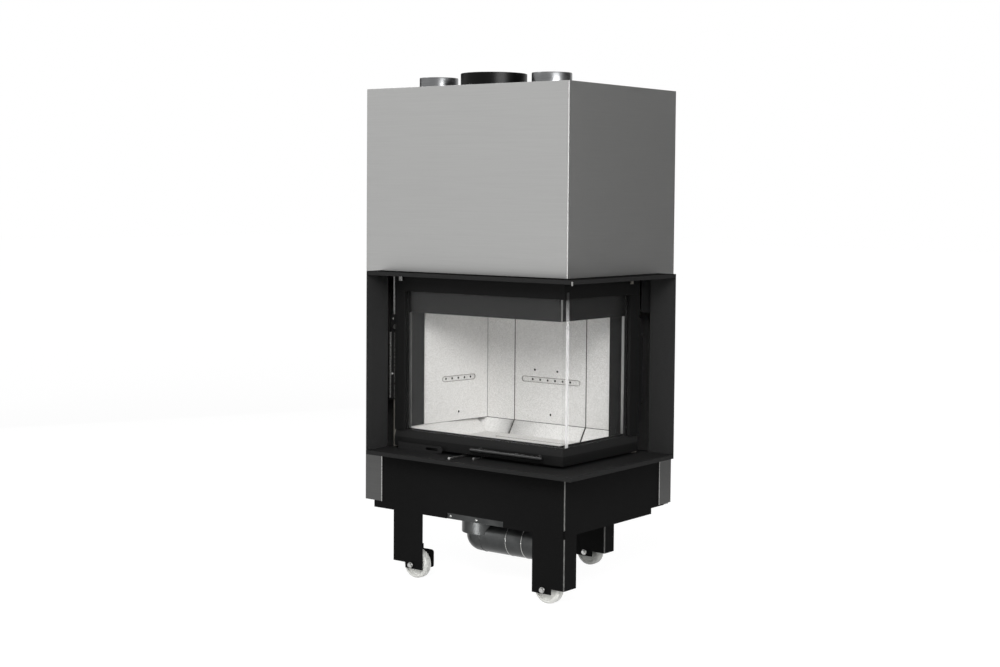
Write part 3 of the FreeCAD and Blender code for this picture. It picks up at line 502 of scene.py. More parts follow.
def hex_head(bm: BMesh, origin: Sequence[float], axis: Vector, size: Pair) -> None:
    """Add a hexagon head with chamfered corners on a thin washer.

    Args:
        bm: Mesh that gets the head.
        origin: Middle of the seat in millimetres.
        axis: Direction in which the head stands up.
        size: Radius over the corners, and height with the washer, in millimetres.
    """
    radius, height = size
    washer = WASHER_SHARE * height
    turned(bm, [(r * radius, h * washer) for r, h in WASHER_OUTLINE], origin, axis, 32)
    made = bmesh.ops.create_cone(bm, cap_ends=True, segments=6, radius1=radius * MM, radius2=radius * MM,
                                 depth=(height - washer) * MM)["verts"]
    middle = (height + washer) / 2 * MM
    bmesh.ops.translate(bm, vec=(0, 0, middle), verts=made)
    top = [e for e in edges_of(made) if all(v.co.z > middle for v in e.verts)]
    placed(bm, made, origin, axis)
    bevelled(bm, top, CHAMFER_SHARE * radius * MM)


def pan_head(bm: BMesh, origin: Sequence[float], axis: Vector, size: Pair) -> None:
    """Add a low domed screw head with a round socket.

    Args:
        bm: Mesh that gets the head.
        origin: Middle of the seat in millimetres.
        axis: Direction in which the head stands up.
        size: Radius and height in millimetres.
    """
    turned(bm, [(r * size[0], h * size[1]) for r, h in PAN_OUTLINE], origin, axis, 20)


def rope(bm: BMesh, foot: Sequence[float], length: float, radius: float, strands: int, lay: float) -> None:
    """Add an upright rope of twisted strands round a core.

    Args:
        bm: Mesh that gets the rope.
        foot: Lower end of the centre line in millimetres.
        length: Length in millimetres.
        radius: Outer radius in millimetres.
        strands: Strands round the core.
        lay: Length of one full twist in millimetres.
    """
    strand = radius * STRAND_SHARE
    twists = max(1, round(length / lay))
    pitch = length / twists
    rise = Vector((0, 0, pitch * MM / TWIST_STEPS))
    before = set(bm.verts)
    for index in range(strands):
        made = bmesh.ops.create_circle(bm, segments=STRAND_SIDES, radius=strand * MM)["verts"]
        bmesh.ops.translate(bm, vec=((radius - strand) * MM, 0, 0), verts=made)
        turn = Matrix.Rotation(math.tau * index / strands, 3, "Z")
        bmesh.ops.rotate(bm, cent=(0, 0, 0), matrix=turn, verts=made)
        bmesh.ops.spin(bm, geom=made + edges_of(made), cent=(0, 0, 0), axis=UP, angle=math.tau,
                       steps=TWIST_STEPS, dvec=rise)
    core = bmesh.ops.create_circle(bm, segments=CORE_SIDES, radius=(radius - strand) * MM)["verts"]
    bmesh.ops.spin(bm, geom=core + edges_of(core), cent=(0, 0, 0), axis=UP, angle=0.0, steps=TWIST_STEPS,
                   dvec=rise)
    new = fresh(bm, before)
    bmesh.ops.translate(bm, vec=Vector(foot) * MM, verts=new)
    twist = list({item for v in new for item in (v, *v.link_edges, *v.link_faces)})
    for index in range(1, twists):
        copy = bmesh.ops.duplicate(bm, geom=twist)["geom"]
        bmesh.ops.translate(bm, vec=(0, 0, index * pitch * MM), verts=only(BMVert, copy))
    bmesh.ops.remove_doubles(bm, verts=fresh(bm, before), dist=MERGE)
    bmesh.ops.holes_fill(bm, edges=[e for e in bm.edges if e.is_boundary], sides=0)
    bmesh.ops.recalc_face_normals(bm, faces=list(bm.faces))


def eased(node: str, finishes: Finishes, width: float, marked: FaceTest | None = None,
          parted: float | None = None, body: Body = Body.STOVE) -> None:
    """Replace a CAD node by the same shape with broken edges that catch the light.

    Args:
        node: CAD node.
        finishes: Finish, or the main finish and the one of marked faces.
        width: Edge width in millimetres.
        marked: Test for faces that get the second finish.
        parted: Height in metres at which the faces are parted first.
        body: Body of the node.
    """
    bm = bmesh.new()
    bm.from_mesh(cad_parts[node].data)
    bmesh.ops.remove_doubles(bm, verts=bm.verts, dist=MERGE)
    bmesh.ops.dissolve_limit(bm, angle_limit=FLAT, verts=bm.verts, edges=bm.edges)
    if parted is not None:
        everything = [*bm.verts, *bm.edges, *bm.faces]
        bmesh.ops.bisect_plane(bm, geom=everything, plane_co=(0, 0, parted), plane_no=UP)
    for face in bm.faces:
        face.material_index = 1 if marked and marked(face) else 0
    bevelled(bm, sharp_edges(bm), width * MM)
    made = piece(bm, node + "_finished", finishes, [node], body)
    made.modifiers.new("even_shading", "WEIGHTED_NORMAL").keep_sharp = True


@dataclass
class Casing:
    """Upper casing of brushed sheet with its screws and folded strips."""

    edge: float = 0.3
    bend_slant: float = 0.15
    screw: Pair = (4.0, 2.2)
    screw_pitch: float = 170.0
    screw_inset: float = 14.0
    hem_width: float = 2.6
    hem_depth: float = 1.2
    hem_edge: float = 0.4

    def build(self) -> None:
        """Build the sheets, the screws along their edges and the hems of the strips, made bright as painted
        highlights.
        """
        # The wrap's bend takes a darker, rougher copy of the sheet: painted shade that dims its highlight.
        eased("casing_wrap", [BRUSHED_SHEET, BEND_SHADED_SHEET], self.edge,
              on_bend(self.bend_slant))
        shelf_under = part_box("shelf")[0].z
        # Below the shelf the left and rear sheets take the darker copy of the sheet: painted shade.
        for node in ("casing_left_sheet", "casing_rear_sheet"):
            eased(node, [BRUSHED_SHEET, STRIP_SHADED_SHEET], self.edge,
                  lambda face: face.calc_center_median().z < shelf_under, shelf_under)
        self.screws()
        self.hems()

    def screws(self) -> None:
        """Build the rows of screws along the rear and left edges."""
        low, high = box_mm("casing_rear_sheet")
        left = box_mm("casing_left_sheet")[0]
        inset = self.screw_inset
        span = high.z - low.z - 2 * inset
        count = int(span / self.screw_pitch) + 1
        bm = bmesh.new()
        for index in range(count):
            z = low.z + inset + index * span / (count - 1)
            for x in (low.x + inset, high.x - inset):
                pan_head(bm, (x, high.y, z), ALONG_Y, self.screw)
            pan_head(bm, (left.x, high.y - inset, z), -ALONG_X, self.screw)
        piece(bm, "casing_screws", ZINC_PLATE)

    def hems(self) -> None:
        """Build the folded edges of the two lower strips in bright zinc: painted highlights along the folds.
        """
        left_low, left_high = box_mm("casing_left_sheet")
        rear_low, rear_high = box_mm("casing_rear_sheet")
        top = box_mm("shelf")[0].z
        depth = self.hem_depth
        bm = bmesh.new()
        block(bm, (left_high.x - self.hem_width, left_low.y - depth, left_low.z),
              (left_high.x, left_low.y, top), self.hem_edge)
        strip_end = rear_high.y - (left_high.x - left_low.x)
        block(bm, (rear_high.x, strip_end, rear_low.z),
              (rear_high.x + depth, strip_end + self.hem_width, top), self.hem_edge)
        piece(bm, "strip_hem_highlights", ZINC_PLATE)


@dataclass
class TopCollars:
    """Flue collar and the two hot-air collars."""

    flue_edge: float = 1.0
    wall: float = 1.2
    flange: float = 1.5
    flange_edge: float = 13.0
    fillet: float = 1.5
    rim: float = 1.3
    rim_outline: Profile = ((0.0, 2.0), (0.3, 0.8), (0.5, 0.0))
    sides: int = 96
    screw: Pair = (3.6, 2.0)
    screw_count: int = 4
    screw_shift: float = 0.5

    def build(self) -> None:
        """Build all three collars."""
        eased("flue_collar", FLUE_ENAMEL, self.flue_edge)
        for side in ("left", "right"):
            self.hot_air_collar("hot_air_collar_" + side)

    def hot_air_collar(self, node: str) -> None:
        """Build one spigot with an eased rim and a screwed flange.

        Args:
            node: CAD node of the collar.
        """
        low, high = box_mm(node)
        centre = ((low.x + high.x) / 2, (low.y + high.y) / 2, low.z)
        outer = (high.x - low.x) / 2
        tube = outer - self.flange_edge
        rise = high.z - low.z
        inner = tube - self.wall
        rim = [(tube - inward * self.rim, rise - down * self.rim) for inward, down in self.rim_outline]
        flange = [(outer, 0), (outer, self.flange), (tube + self.fillet, self.flange),
                  (tube, self.flange + self.fillet)]
        bm = bmesh.new()
        turned(bm, [(inner, 0), *flange, *rim, (inner, rise)], centre, UP, self.sides, closed=True)
        piece(bm, node + "_spun", SPUN_ZINC, [node])
        bm = bmesh.new()
        reach = (outer + tube) / 2 + self.screw_shift
        for index in range(self.screw_count):
            angle = math.tau * (index + 0.5) / self.screw_count
            x, y = centre[0] + reach * math.cos(angle), centre[1] + reach * math.sin(angle)
            pan_head(bm, (x, y, low.z + self.flange), UP, self.screw)
        piece(bm, node + "_screws", ZINC_PLATE)


@dataclass
class OpeningFrame:
    """Black plates round the opening and the two pale stops under the lintel."""

    plate_edge: float = 0.7
    level: float = 0.9
    stop_skin: float = 0.4
    stop_width: float = 13.0
    stop_depth: float = 3.4
    stop_drop: float = 17.0
    stop_edge: float = 0.3
    left_stop: Pair = (-290.0, -223.0)
    right_stop: Pair = (318.0, 107.0)
    weld_width: float = 3.0
    weld_proud: float = 0.3
    weld_span: Pair = (4.0, 15.0)

    def build(self) -> None:
        """Build lintel, shelf and jambs, then the stops and the bright weld of the lintel's corner."""
        eased("shelf", FRAME_PAINT, self.plate_edge)
        # The lintel's upward faces take deep black paint: painted shadow under the casing's edge.
        eased("lintel", [FRAME_PAINT, SHADOWED_TOP_PAINT], self.plate_edge, faces_up(self.level))
        for node in ("left_jamb", "right_jamb"):
            eased(node, JAMB_PAINT, self.plate_edge)
        self.stops()
        self.weld()

    def stops(self) -> None:
        """Build the zinc skins of the two stops."""
        under = box_mm("lintel")[0].z
        foot, top = under - self.stop_skin, under + self.stop_drop
        bm = bmesh.new()
        x, y = self.left_stop
        block(bm, (x, y - self.stop_skin, foot), (x + self.stop_width, y + self.stop_depth, top),
              self.stop_edge)
        piece(bm, "lintel_stop_left", ZINC_PLATE)
        bm = bmesh.new()
        x, y = self.right_stop
        block(bm, (x - self.stop_depth, y, foot), (x + self.stop_skin, y + self.stop_width, top),
              self.stop_edge)
        piece(bm, "lintel_stop_right", DULL_ZINC)

    def weld(self) -> None:
        """Build the bright weld at the lintel's near corner."""
        low, high = box_mm("lintel")
        inset = self.weld_width / 2 - self.weld_proud
        foot = Vector((high.x - inset, low.y + inset, high.z - self.weld_span[1]))
        bm = bmesh.new()
        bar(bm, foot, Vector((foot.x, foot.y, high.z - self.weld_span[0])), self.weld_width)
        piece(bm, "lintel_corner_weld", ZINC_PLATE)


@dataclass
class WheeledBase:
    """Apron, legs, brackets, wheels and their bolts."""

    edge: float = 0.6
    bend_slant: float = 0.3
    sheet: float = 3.2
    corner_bar_side: float = 10.0
    corner_bar_edge: float = 0.8
    corner_bar_span: Pair = (180.0, 228.0)
    bend_line: float = 3.0
    bend_proud: float = 0.2
    rear_leg_foot: float = 47.3
    wheel_behind_face: float = 28.0
    hub_behind_face: float = 3.5
    wheel_sides: int = 72
    bore: float = 5.08
    hub: float = 13.0
    hub_edge: float = 1.0
    bolt_radius: float = 5.0
    bolt_stand: float = 6.0
    bolt_past_nut: float = 6.0
    bolt_edge: float = 1.0
    bolt_sides: int = 28
    bolt_head: Pair = (7.2, 6.4)
    bracket_span: float = 55.0
    flange_screw: Pair = (3.5, 2.0)
    flange_screw_seats: tuple[Place, ...] = ((-70.0, -240.5, 206.5), (25.0, -240.5, 206.5))

    def build(self) -> None:
        """Build the painted steel, the wheels and the fasteners."""
        # The bend faces of apron and legs take pale half-metallic paint: a painted highlight along the fold.
        for node in ("base_apron", "rear_legs"):
            eased(node, [BASE_PAINT, BEND_HIGHLIGHT_PAINT], self.edge, on_bend(self.bend_slant))
        eased("wheel_brackets", BASE_PAINT, self.edge)
        self.corner_bar()
        self.rear_bend()
        bm = bmesh.new()
        for body in Body:
            if body.value.startswith("wheel"):
                self.bolt(bm, self.wheel(body))
        for seat in self.flange_screw_seats:
            pan_head(bm, seat, -ALONG_Y, self.flange_screw)
        piece(bm, "base_fasteners_zinc", ZINC_PLATE, ["base_fasteners"])

    def corner_bar(self) -> None:
        """Build the bar welded inside the bend behind its relief slot."""
        low, high = box_mm("base_apron")
        x, y = high.x - self.sheet, low.y + self.sheet
        foot, top = self.corner_bar_span
        bm = bmesh.new()
        block(bm, (x - self.corner_bar_side, y, foot), (x, y + self.corner_bar_side, top),
              self.corner_bar_edge)
        piece(bm, "corner_bar", BASE_PAINT)

    def rear_bend(self) -> None:
        """Build the pale line along the fold of the right rear leg: a painted highlight."""
        low, high = box_mm("rear_legs")
        inset = self.bend_line / 2 - self.bend_proud
        foot = Vector((high.x - inset, low.y + inset, self.rear_leg_foot))
        bm = bmesh.new()
        bar(bm, foot, Vector((foot.x, foot.y, high.z)), self.bend_line)
        piece(bm, "rear_leg_bend_highlight", BEND_HIGHLIGHT_PAINT)

    def wheel(self, body: Body) -> Vector:
        """Build one wheel with a rounded tread, dished sides and a long hub.

        Args:
            body: Wheel body, named as its node.

        Returns:
            Centre of the tread in millimetres.
        """
        low, high = box_mm(body.value)
        middle_y = low.y - self.hub_behind_face + self.wheel_behind_face
        centre = Vector(((low.x + high.x) / 2, middle_y, (low.z + high.z) / 2))
        front, back = low.y - centre.y, high.y - centre.y
        face = self.hub - self.hub_edge
        profile = [(self.bore, front), (face, front), (self.hub, front + self.hub_edge),
                   *((radius, -half) for radius, half in WHEEL_OUTLINE), *reversed(WHEEL_OUTLINE),
                   (self.hub, back - self.hub_edge), (face, back), (self.bore, back)]
        bm = bmesh.new()
        turned(bm, profile, centre, ALONG_Y, self.wheel_sides, closed=True)
        piece(bm, body.value + "_moulded", NYLON, [body.value], body)
        return centre

    def bolt(self, bm: BMesh, centre: Vector) -> None:
        """Add the bolt of one wheel with its head and nut.

        Args:
            bm: Mesh that collects the fasteners.
            centre: Centre of the wheel's tread in millimetres.
        """
        seat = centre.y - self.wheel_behind_face - self.bolt_stand
        length = self.bolt_stand + self.bracket_span
        tip, r, edge = length + self.bolt_past_nut, self.bolt_radius, self.bolt_edge
        turned(bm, [(0, 0), (r, 0), (r, tip - edge), (r - edge, tip), (0, tip)], (centre.x, seat, centre.z),
               ALONG_Y, self.bolt_sides)
        hex_head(bm, (centre.x, seat, centre.z), -ALONG_Y, self.bolt_head)
        hex_head(bm, (centre.x, seat + length, centre.z), ALONG_Y, self.bolt_head)


@dataclass
class AirInlet:
    """Galvanised flange and drawn elbow under the base."""

    flange_edge: float = 0.5
    pipe_radius: float = 50.0
    pipe_sides: int = 64
    wall: float = 1.0
    axis_drop: float = 54.0
    heel_steps: int = 16
    seam_radius: float = 1.0
    seam_sunk: float = 0.2
    seam_shoulder: float = 0.7
    heel_seam: float = 21.0
    pipe_seam: float = 117.5
    bead_radius: float = 1.2
    bead_from_end: float = 67.0

    def build(self) -> None:
        """Build the flange and the elbow with its seams."""
        eased("air_inlet_flange", ZINC_PIPE, self.flange_edge)
        low, high = box_mm("air_inlet_elbow")
        corner = Vector((low.x + self.pipe_radius, (low.y + high.y) / 2, high.z - self.axis_drop))
        bm = bmesh.new()
        self.elbow(bm, corner, high.x)
        self.seam(bm, corner + self.heel_seam * ALONG_X, self.seam_radius)
        piece(bm, "air_inlet_elbow_drawn", ZINC_PIPE, ["air_inlet_elbow"])
        # The seam and the bead on the level pipe are in bright zinc: painted highlights on their ridges.
        bm = bmesh.new()
        self.seam(bm, corner + self.pipe_seam * ALONG_X, self.seam_radius)
        self.seam(bm, Vector((high.x - self.bead_from_end, corner.y, corner.z)), self.bead_radius)
        piece(bm, "air_inlet_seam_highlights", ZINC_PLATE)

    def elbow(self, bm: BMesh, corner: Vector, outlet: float) -> None:
        """Add the elbow: an upright pipe, a round heel and a level pipe that meets it in a mitre.

        Args:
            bm: Mesh that gets the elbow.
            corner: Where the two axes meet, in millimetres.
            outlet: X of the open end in millimetres.
        """
        ring = bmesh.ops.create_circle(bm, segments=self.pipe_sides, radius=self.pipe_radius * MM)["verts"]
        bmesh.ops.translate(bm, vec=(corner + self.axis_drop * UP) * MM, verts=ring)
        verts, edges = self.drawn_on(bm, edges_of(ring))
        bmesh.ops.translate(bm, vec=-self.axis_drop * UP * MM, verts=verts)
        middle = corner.x * MM
        heel = [e for e in edges if all(v.co.x < middle + MERGE for v in e.verts)]
        mitre = [e for e in edges if e not in heel]
        for vert in verts:
            vert.co.z += max(0.0, vert.co.x - middle)
        geom = heel + list({v for e in heel for v in e.verts})
        last = bmesh.ops.spin(bm, geom=geom, cent=corner * MM, axis=-ALONG_Y, angle=math.pi / 2,
                              steps=self.heel_steps)["geom_last"]
        verts, _ = self.drawn_on(bm, mitre + only(BMEdge, last))
        for vert in verts:
            vert.co.x = outlet * MM
        bmesh.ops.remove_doubles(bm, verts=bm.verts, dist=MERGE)
        bmesh.ops.dissolve_degenerate(bm, edges=bm.edges, dist=MERGE)
        bmesh.ops.recalc_face_normals(bm, faces=list(bm.faces))
        bmesh.ops.solidify(bm, geom=list(bm.faces), thickness=self.wall * MM)

    def drawn_on(self, bm: BMesh, edges: list[BMEdge]) -> tuple[list[BMVert], list[BMEdge]]:
        """Extrude edges in place and return the new vertices and edges along the far side."""
        verts = only(BMVert, bmesh.ops.extrude_edge_only(bm, edges=edges)["geom"])
        far = set(verts)
        return verts, [e for e in edges_of(verts) if all(v in far for v in e.verts)]

    def seam(self, bm: BMesh, middle: Vector, size: float) -> None:
        """Add a raised seam round the level pipe.

        Args:
            bm: Mesh that gets the seam.
            middle: Middle of the pipe at the seam, in millimetres.
            size: Height and half width of the seam in millimetres.
        """
        r, sunk = self.pipe_radius, self.pipe_radius - self.seam_sunk
        shoulder = self.seam_shoulder * size
        profile = [(sunk, -size), (r + shoulder, -shoulder), (r + size, 0), (r + shoulder, shoulder),
                   (sunk, size)]
        turned(bm, profile, middle, ALONG_X, self.pipe_sides, closed=True)


@dataclass
class Firebox:
    """Steel box, pale lining and hearth."""

    plate_edge: float = 0.8
    board_edge: float = 1.2
    hole_levels: tuple[float, ...] = (573.0, 603.0, 468.0)
    level_band: float = 8.0
    hole_depth: Pair = (3.3, 9.6)
    hole_face_area: float = 5e-5
    lining_tip: float = 5.0
    groove_heights: Pair = (394.0, 399.2)
    groove_band: Pair = (58.0, 72.0)
    joint_width: float = 3.2
    joint_proud: float = 0.3
    brick_foot: Pair = (128.0, 400.0)
    recess_level: float = 132.0
    recess_shift: float = 3.0
    recess_height: float = 16.0
    recess_lengths: Pair = (219.0, 139.0)
    left_recess_share: float = 0.53
    rim_steps: int = 8
    rim_width: float = 1.5
    left_strip_width: float = 13.0
    strip_width: float = 9.0
    bend_strip_width: float = 6.3
    strip_proud: float = 1.4
    strip_edge: float = 0.5

    def build(self) -> None:
        """Build the plates and the boards."""
        for node in ("firebox_left_plate", "firebox_back_plate", "firebox_floor_plate", "firebox_roof",
                     "firebox_right_post", "hearth_sill", "deflector_band"):
            eased(node, BOILER_PLATE, self.plate_edge)
        # Faces inside the boards' holes and the hearth's groove take the dark finish: painted shade in those
        # hollows.
        for node, marked in (("left_lining", self.in_left_hole), ("back_lining_centre", self.in_back_hole),
                             ("hearth_bricks", self.in_groove)):
            eased(node, [VERMICULITE, SOOT_AND_SHADE], self.board_edge, marked)
        for node in ("back_lining_left", "back_lining_right", "baffle"):
            eased(node, VERMICULITE, self.board_edge)
        self.joints()
        self.recess_rims()
        self.edge_strips()

    def in_hole(self, face: BMFace, depth: float) -> bool:
        """Return whether a face this many millimetres behind a board's front lies inside a hole."""
        height = face.calc_center_median().z / MM
        near = any(abs(height - level) < self.level_band for level in self.hole_levels)
        deep = self.hole_depth[0] < depth < self.hole_depth[1]
        return near and deep and face.calc_area() < self.hole_face_area

    def in_back_hole(self, face: BMFace) -> bool:
        """Return whether a face of the middle rear board lies inside a hole."""
        return self.in_hole(face, (face.calc_center_median().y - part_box("back_lining_centre")[0].y) / MM)

    def in_left_hole(self, face: BMFace) -> bool:
        """Return whether a face of the slanting left board lies inside a hole."""
        start, end = self.left_face()
        inward = UP.cross(end - start).normalized()
        return self.in_hole(face, (face.calc_center_median() / MM - start).dot(inward))

    def in_groove(self, face: BMFace) -> bool:
        """Return whether a face lies inside the hearth's groove."""
        middle = face.calc_center_median() / MM
        low, high = self.groove_heights
        return low < middle.z < high and self.groove_band[0] < middle.y < self.groove_band[1]

    def left_face(self) -> tuple[Vector, Vector]:
        """Return the front and rear ends of the left board's lower front edge, in millimetres."""
        low, high = box_mm("left_lining")
        return Vector((low.x + self.lining_tip, low.y, low.z)), Vector((high.x, high.y, low.z))

    def joints(self) -> None:
        """Build the dark joints between the boards and round the hearth, and a dark line up the rear corner
        as painted shade.
        """
        low, high = box_mm("back_lining_centre")
        sunk = self.joint_width / 2 - self.joint_proud
        foot_y, foot_z = self.brick_foot
        slope = Vector((0, foot_y - low.y, foot_z - low.z))
        under = slope.cross(ALONG_X).normalized() * sunk
        bm = bmesh.new()
        for x in (low.x, high.x):
            bar(bm, Vector((x, low.y + sunk, low.z)), Vector((x, low.y + sunk, high.z)), self.joint_width)
            top = Vector((x, low.y, low.z)) + under
            bar(bm, top, top + slope, self.joint_width)
        front, rear = self.left_face()
        right = box_mm("back_lining_right")[1].x
        # The line up the rear corner stands for shade in that corner: painted shade.
        for start, end in ((rear, Vector((right, low.y, low.z))), (front, rear),
                           (rear, Vector((rear.x, rear.y, high.z)))):
            bar(bm, start, end, self.joint_width / 2)
        piece(bm, "lining_joints_and_corner_shade", SOOT_AND_SHADE)

    def recess_rims(self) -> None:
        """Build the grey outlines round the two recesses that hold the air holes: painted shade along their
        rims.
        """
        low, high = box_mm("back_lining_centre")
        level = Vector((0, 0, self.recess_level))
        back, left = self.recess_lengths
        bm = bmesh.new()
        middle = Vector(((low.x + high.x) / 2 + self.recess_shift, low.y, low.z))
        self.rim(bm, middle + level, ALONG_X, back)
        front, rear = self.left_face()
        self.rim(bm, front.lerp(rear, self.left_recess_share) + level, (rear - front).normalized(), left)
        piece(bm, "recess_rims", RIM_SHADE)

    def rim(self, bm: BMesh, middle: Vector, along: Vector, length: float) -> None:
        """Add the outline of one recess with round ends.

        Args:
            bm: Mesh that gets the outline.
            middle: Middle of the recess in millimetres.
            along: Direction of its long side.
            length: Length over the round ends in millimetres.
        """
        radius = self.recess_height / 2
        reach = length / 2 - radius
        points = []
        for step in range(2 * self.rim_steps + 2):
            side = 1 if step <= self.rim_steps else -1
            turn = math.pi * (step - (step > self.rim_steps)) / self.rim_steps - math.pi / 2
            out = side * reach + radius * math.cos(turn)
            points.append(middle + along * out + UP * radius * math.sin(turn))
        for start, end in zip(points, points[1:] + points[:1]):
            bar(bm, start, end, self.rim_width)

    def edge_strips(self) -> None:
        """Build pale strips on the plates' edges beside the opening and at the deflector's bend: painted
        highlights.
        """
        sill = box_mm("hearth_sill")[1].z
        low, high = box_mm("deflector_band")
        post_low, post_high = box_mm("firebox_right_post")
        half, proud = self.strip_width / 2, self.strip_proud
        bm = bmesh.new()
        for start, end in (
                ((low.x, low.y - proud, sill), (low.x + self.left_strip_width, low.y, low.z)),
                ((post_high.x - half, post_low.y - proud, sill), (post_high.x + half, post_low.y, low.z)),
                ((high.x, low.y, low.z), (high.x + proud, low.y + self.bend_strip_width, high.z))):
            block(bm, start, end, self.strip_edge)
        piece(bm, "plate_edge_highlights", EDGE_HIGHLIGHT_STEEL)


@dataclass
class Door:
    """Glass door with its frame, handle, seals and carriages."""

    edge: float = 0.9
    slope: float = 0.3
    handle_radius: float = 6.0
    handle_end: float = 2.5
    handle_ease: float = 0.3
    handle_sides: int = 40
    post_radius: float = 5.0
    post_inset: float = 24.0
    post_foot: Profile = ((0.0, 3.0), (1.0, 2.4), (2.5, 2.0), (2.5, 0.0))
    post_sides: int = 32
    corner_strip: Pair = (-192.0, -177.0)
    shaded_strip: Pair = (-204.0, -192.0)
    shaded_rise: float = 20.0
    strip_gap: float = 0.1
    strip_proud: float = 0.6
    strip_edge: float = 0.2
    seal_radius: float = 6.0
    seal_strands: int = 5
    seal_lay: float = 26.0
    left_seal_y: float = -187.0
    right_seal_x: float = 282.0
    carriage_edge: float = 0.8
    rail_strip: float = 8.0
    rail_strip_depth: float = 2.0
    rail_strip_edge: float = 0.9
    rail_strip_drop: float = 51.0
    carriage_nut: Pair = (7.0, 6.0)
    nut_place: Place = (-6.0, 3.0, 14.0)
    carriage_screws: tuple[tuple[Place, Pair], ...] = (
        ((12.0, 0.0, -127.0), (4.2, 3.0)), ((12.0, 3.0, 38.0), (3.5, 2.2)))

    def build(self) -> None:
        """Build frame, handle, glass corner, seals and carriages."""
        # The rail's upward slope takes the lighter matt frame paint: painted light on the faces that turn up
        # to the lamps.
        eased("door_bottom_rail", [DOOR_ENAMEL, FRAME_PAINT], self.edge,
              faces_up(self.slope), body=Body.DOOR)
        for node in ("door_top_rail", "door_left_stile", "door_right_stile"):
            eased(node, DOOR_ENAMEL, self.edge, body=Body.DOOR)
        self.handle()
        self.glass_corner()
        self.seals()
        self.carriages()

    def handle(self) -> None:
        """Build the bar handle on two collared posts."""
        low, high = box_mm("door_handle")
        r, end, ease = self.handle_radius, self.handle_end, self.handle_ease * self.handle_end
        length = high.x - low.x
        axis_y, axis_z = low.y + r, (low.z + high.z) / 2
        start = [(0, 0), (r - end, 0), (r - ease, ease), (r, end)]
        bm = bmesh.new()
        turned(bm, [*start, *((radius, length - along) for radius, along in reversed(start))],
               (low.x, axis_y, axis_z), ALONG_X, self.handle_sides)
        reach, post = high.y - axis_y, self.post_radius
        foot = [(post + wider, reach - before) for wider, before in self.post_foot]
        for x in (low.x + self.post_inset, high.x - self.post_inset):
            turned(bm, [(0, 0), (post, 0), *foot, (0, reach)], (x, axis_y, axis_z), ALONG_Y,
                   self.post_sides)
        piece(bm, "door_handle_bar", HANDLE_ENAMEL, ["door_handle"], Body.DOOR)

    def glass_corner(self) -> None:
        """Build the pale strip beside the corner where the panes meet, a painted highlight of the curved
        corner, and its dimmer end over the rail.
        """
        side = box_mm("side_glass")[1].x
        bottom = box_mm("door_bottom_rail")[1].z
        top = box_mm("door_top_rail")[0].z
        rail = box_mm("door_top_rail")[1].x
        front, back = self.corner_strip
        bm = bmesh.new()
        block(bm, (side + self.strip_gap, front, bottom), (side + self.strip_proud, back, top),
              self.strip_edge)
        piece(bm, "glass_corner_highlight", CORNER_HIGHLIGHT_GLASS, body=Body.DOOR)
        front, back = self.shaded_strip
        bm = bmesh.new()
        block(bm, (rail, front, top), (rail + self.strip_proud, back, top + self.shaded_rise),
              self.strip_edge)
        piece(bm, "glass_corner_top", DIM_CORNER_HIGHLIGHT, body=Body.DOOR)

    def seals(self) -> None:
        """Build the twisted sealing ropes behind the stiles."""
        low, high = box_mm("door_seals")
        radius = self.seal_radius
        bm = bmesh.new()
        for x, y in ((low.x + radius, self.left_seal_y), (self.right_seal_x, high.y - radius)):
            rope(bm, (x, y, low.z), high.z - low.z, radius, self.seal_strands, self.seal_lay)
        piece(bm, "door_seal_ropes", FIBRE_ROPE, ["door_seals"], Body.DOOR)

    def carriages(self) -> None:
        """Build the carriages, then the bright edge strips and screws of the left one."""
        for node in ("door_carriage_left", "door_carriage_right"):
            eased(node, DOOR_ENAMEL, self.carriage_edge, body=Body.DOOR)
        low, high = box_mm("door_carriage_left")
        top = high.z - self.rail_strip_drop
        depth = self.rail_strip_depth
        bm = bmesh.new()
        for x in (low.x, high.x - self.rail_strip):
            block(bm, (x, low.y - depth, low.z + depth), (x + self.rail_strip, low.y, top - depth),
                  self.rail_strip_edge)
        hex_head(bm, Vector((high.x, low.y, top)) + Vector(self.nut_place), -ALONG_Y, self.carriage_nut)
        for place, size in self.carriage_screws:
            pan_head(bm, Vector((low.x, low.y, top)) + Vector(place), -ALONG_Y, size)
        piece(bm, "carriage_strips", ZINC_PLATE, ["carriage_screws"], Body.DOOR)


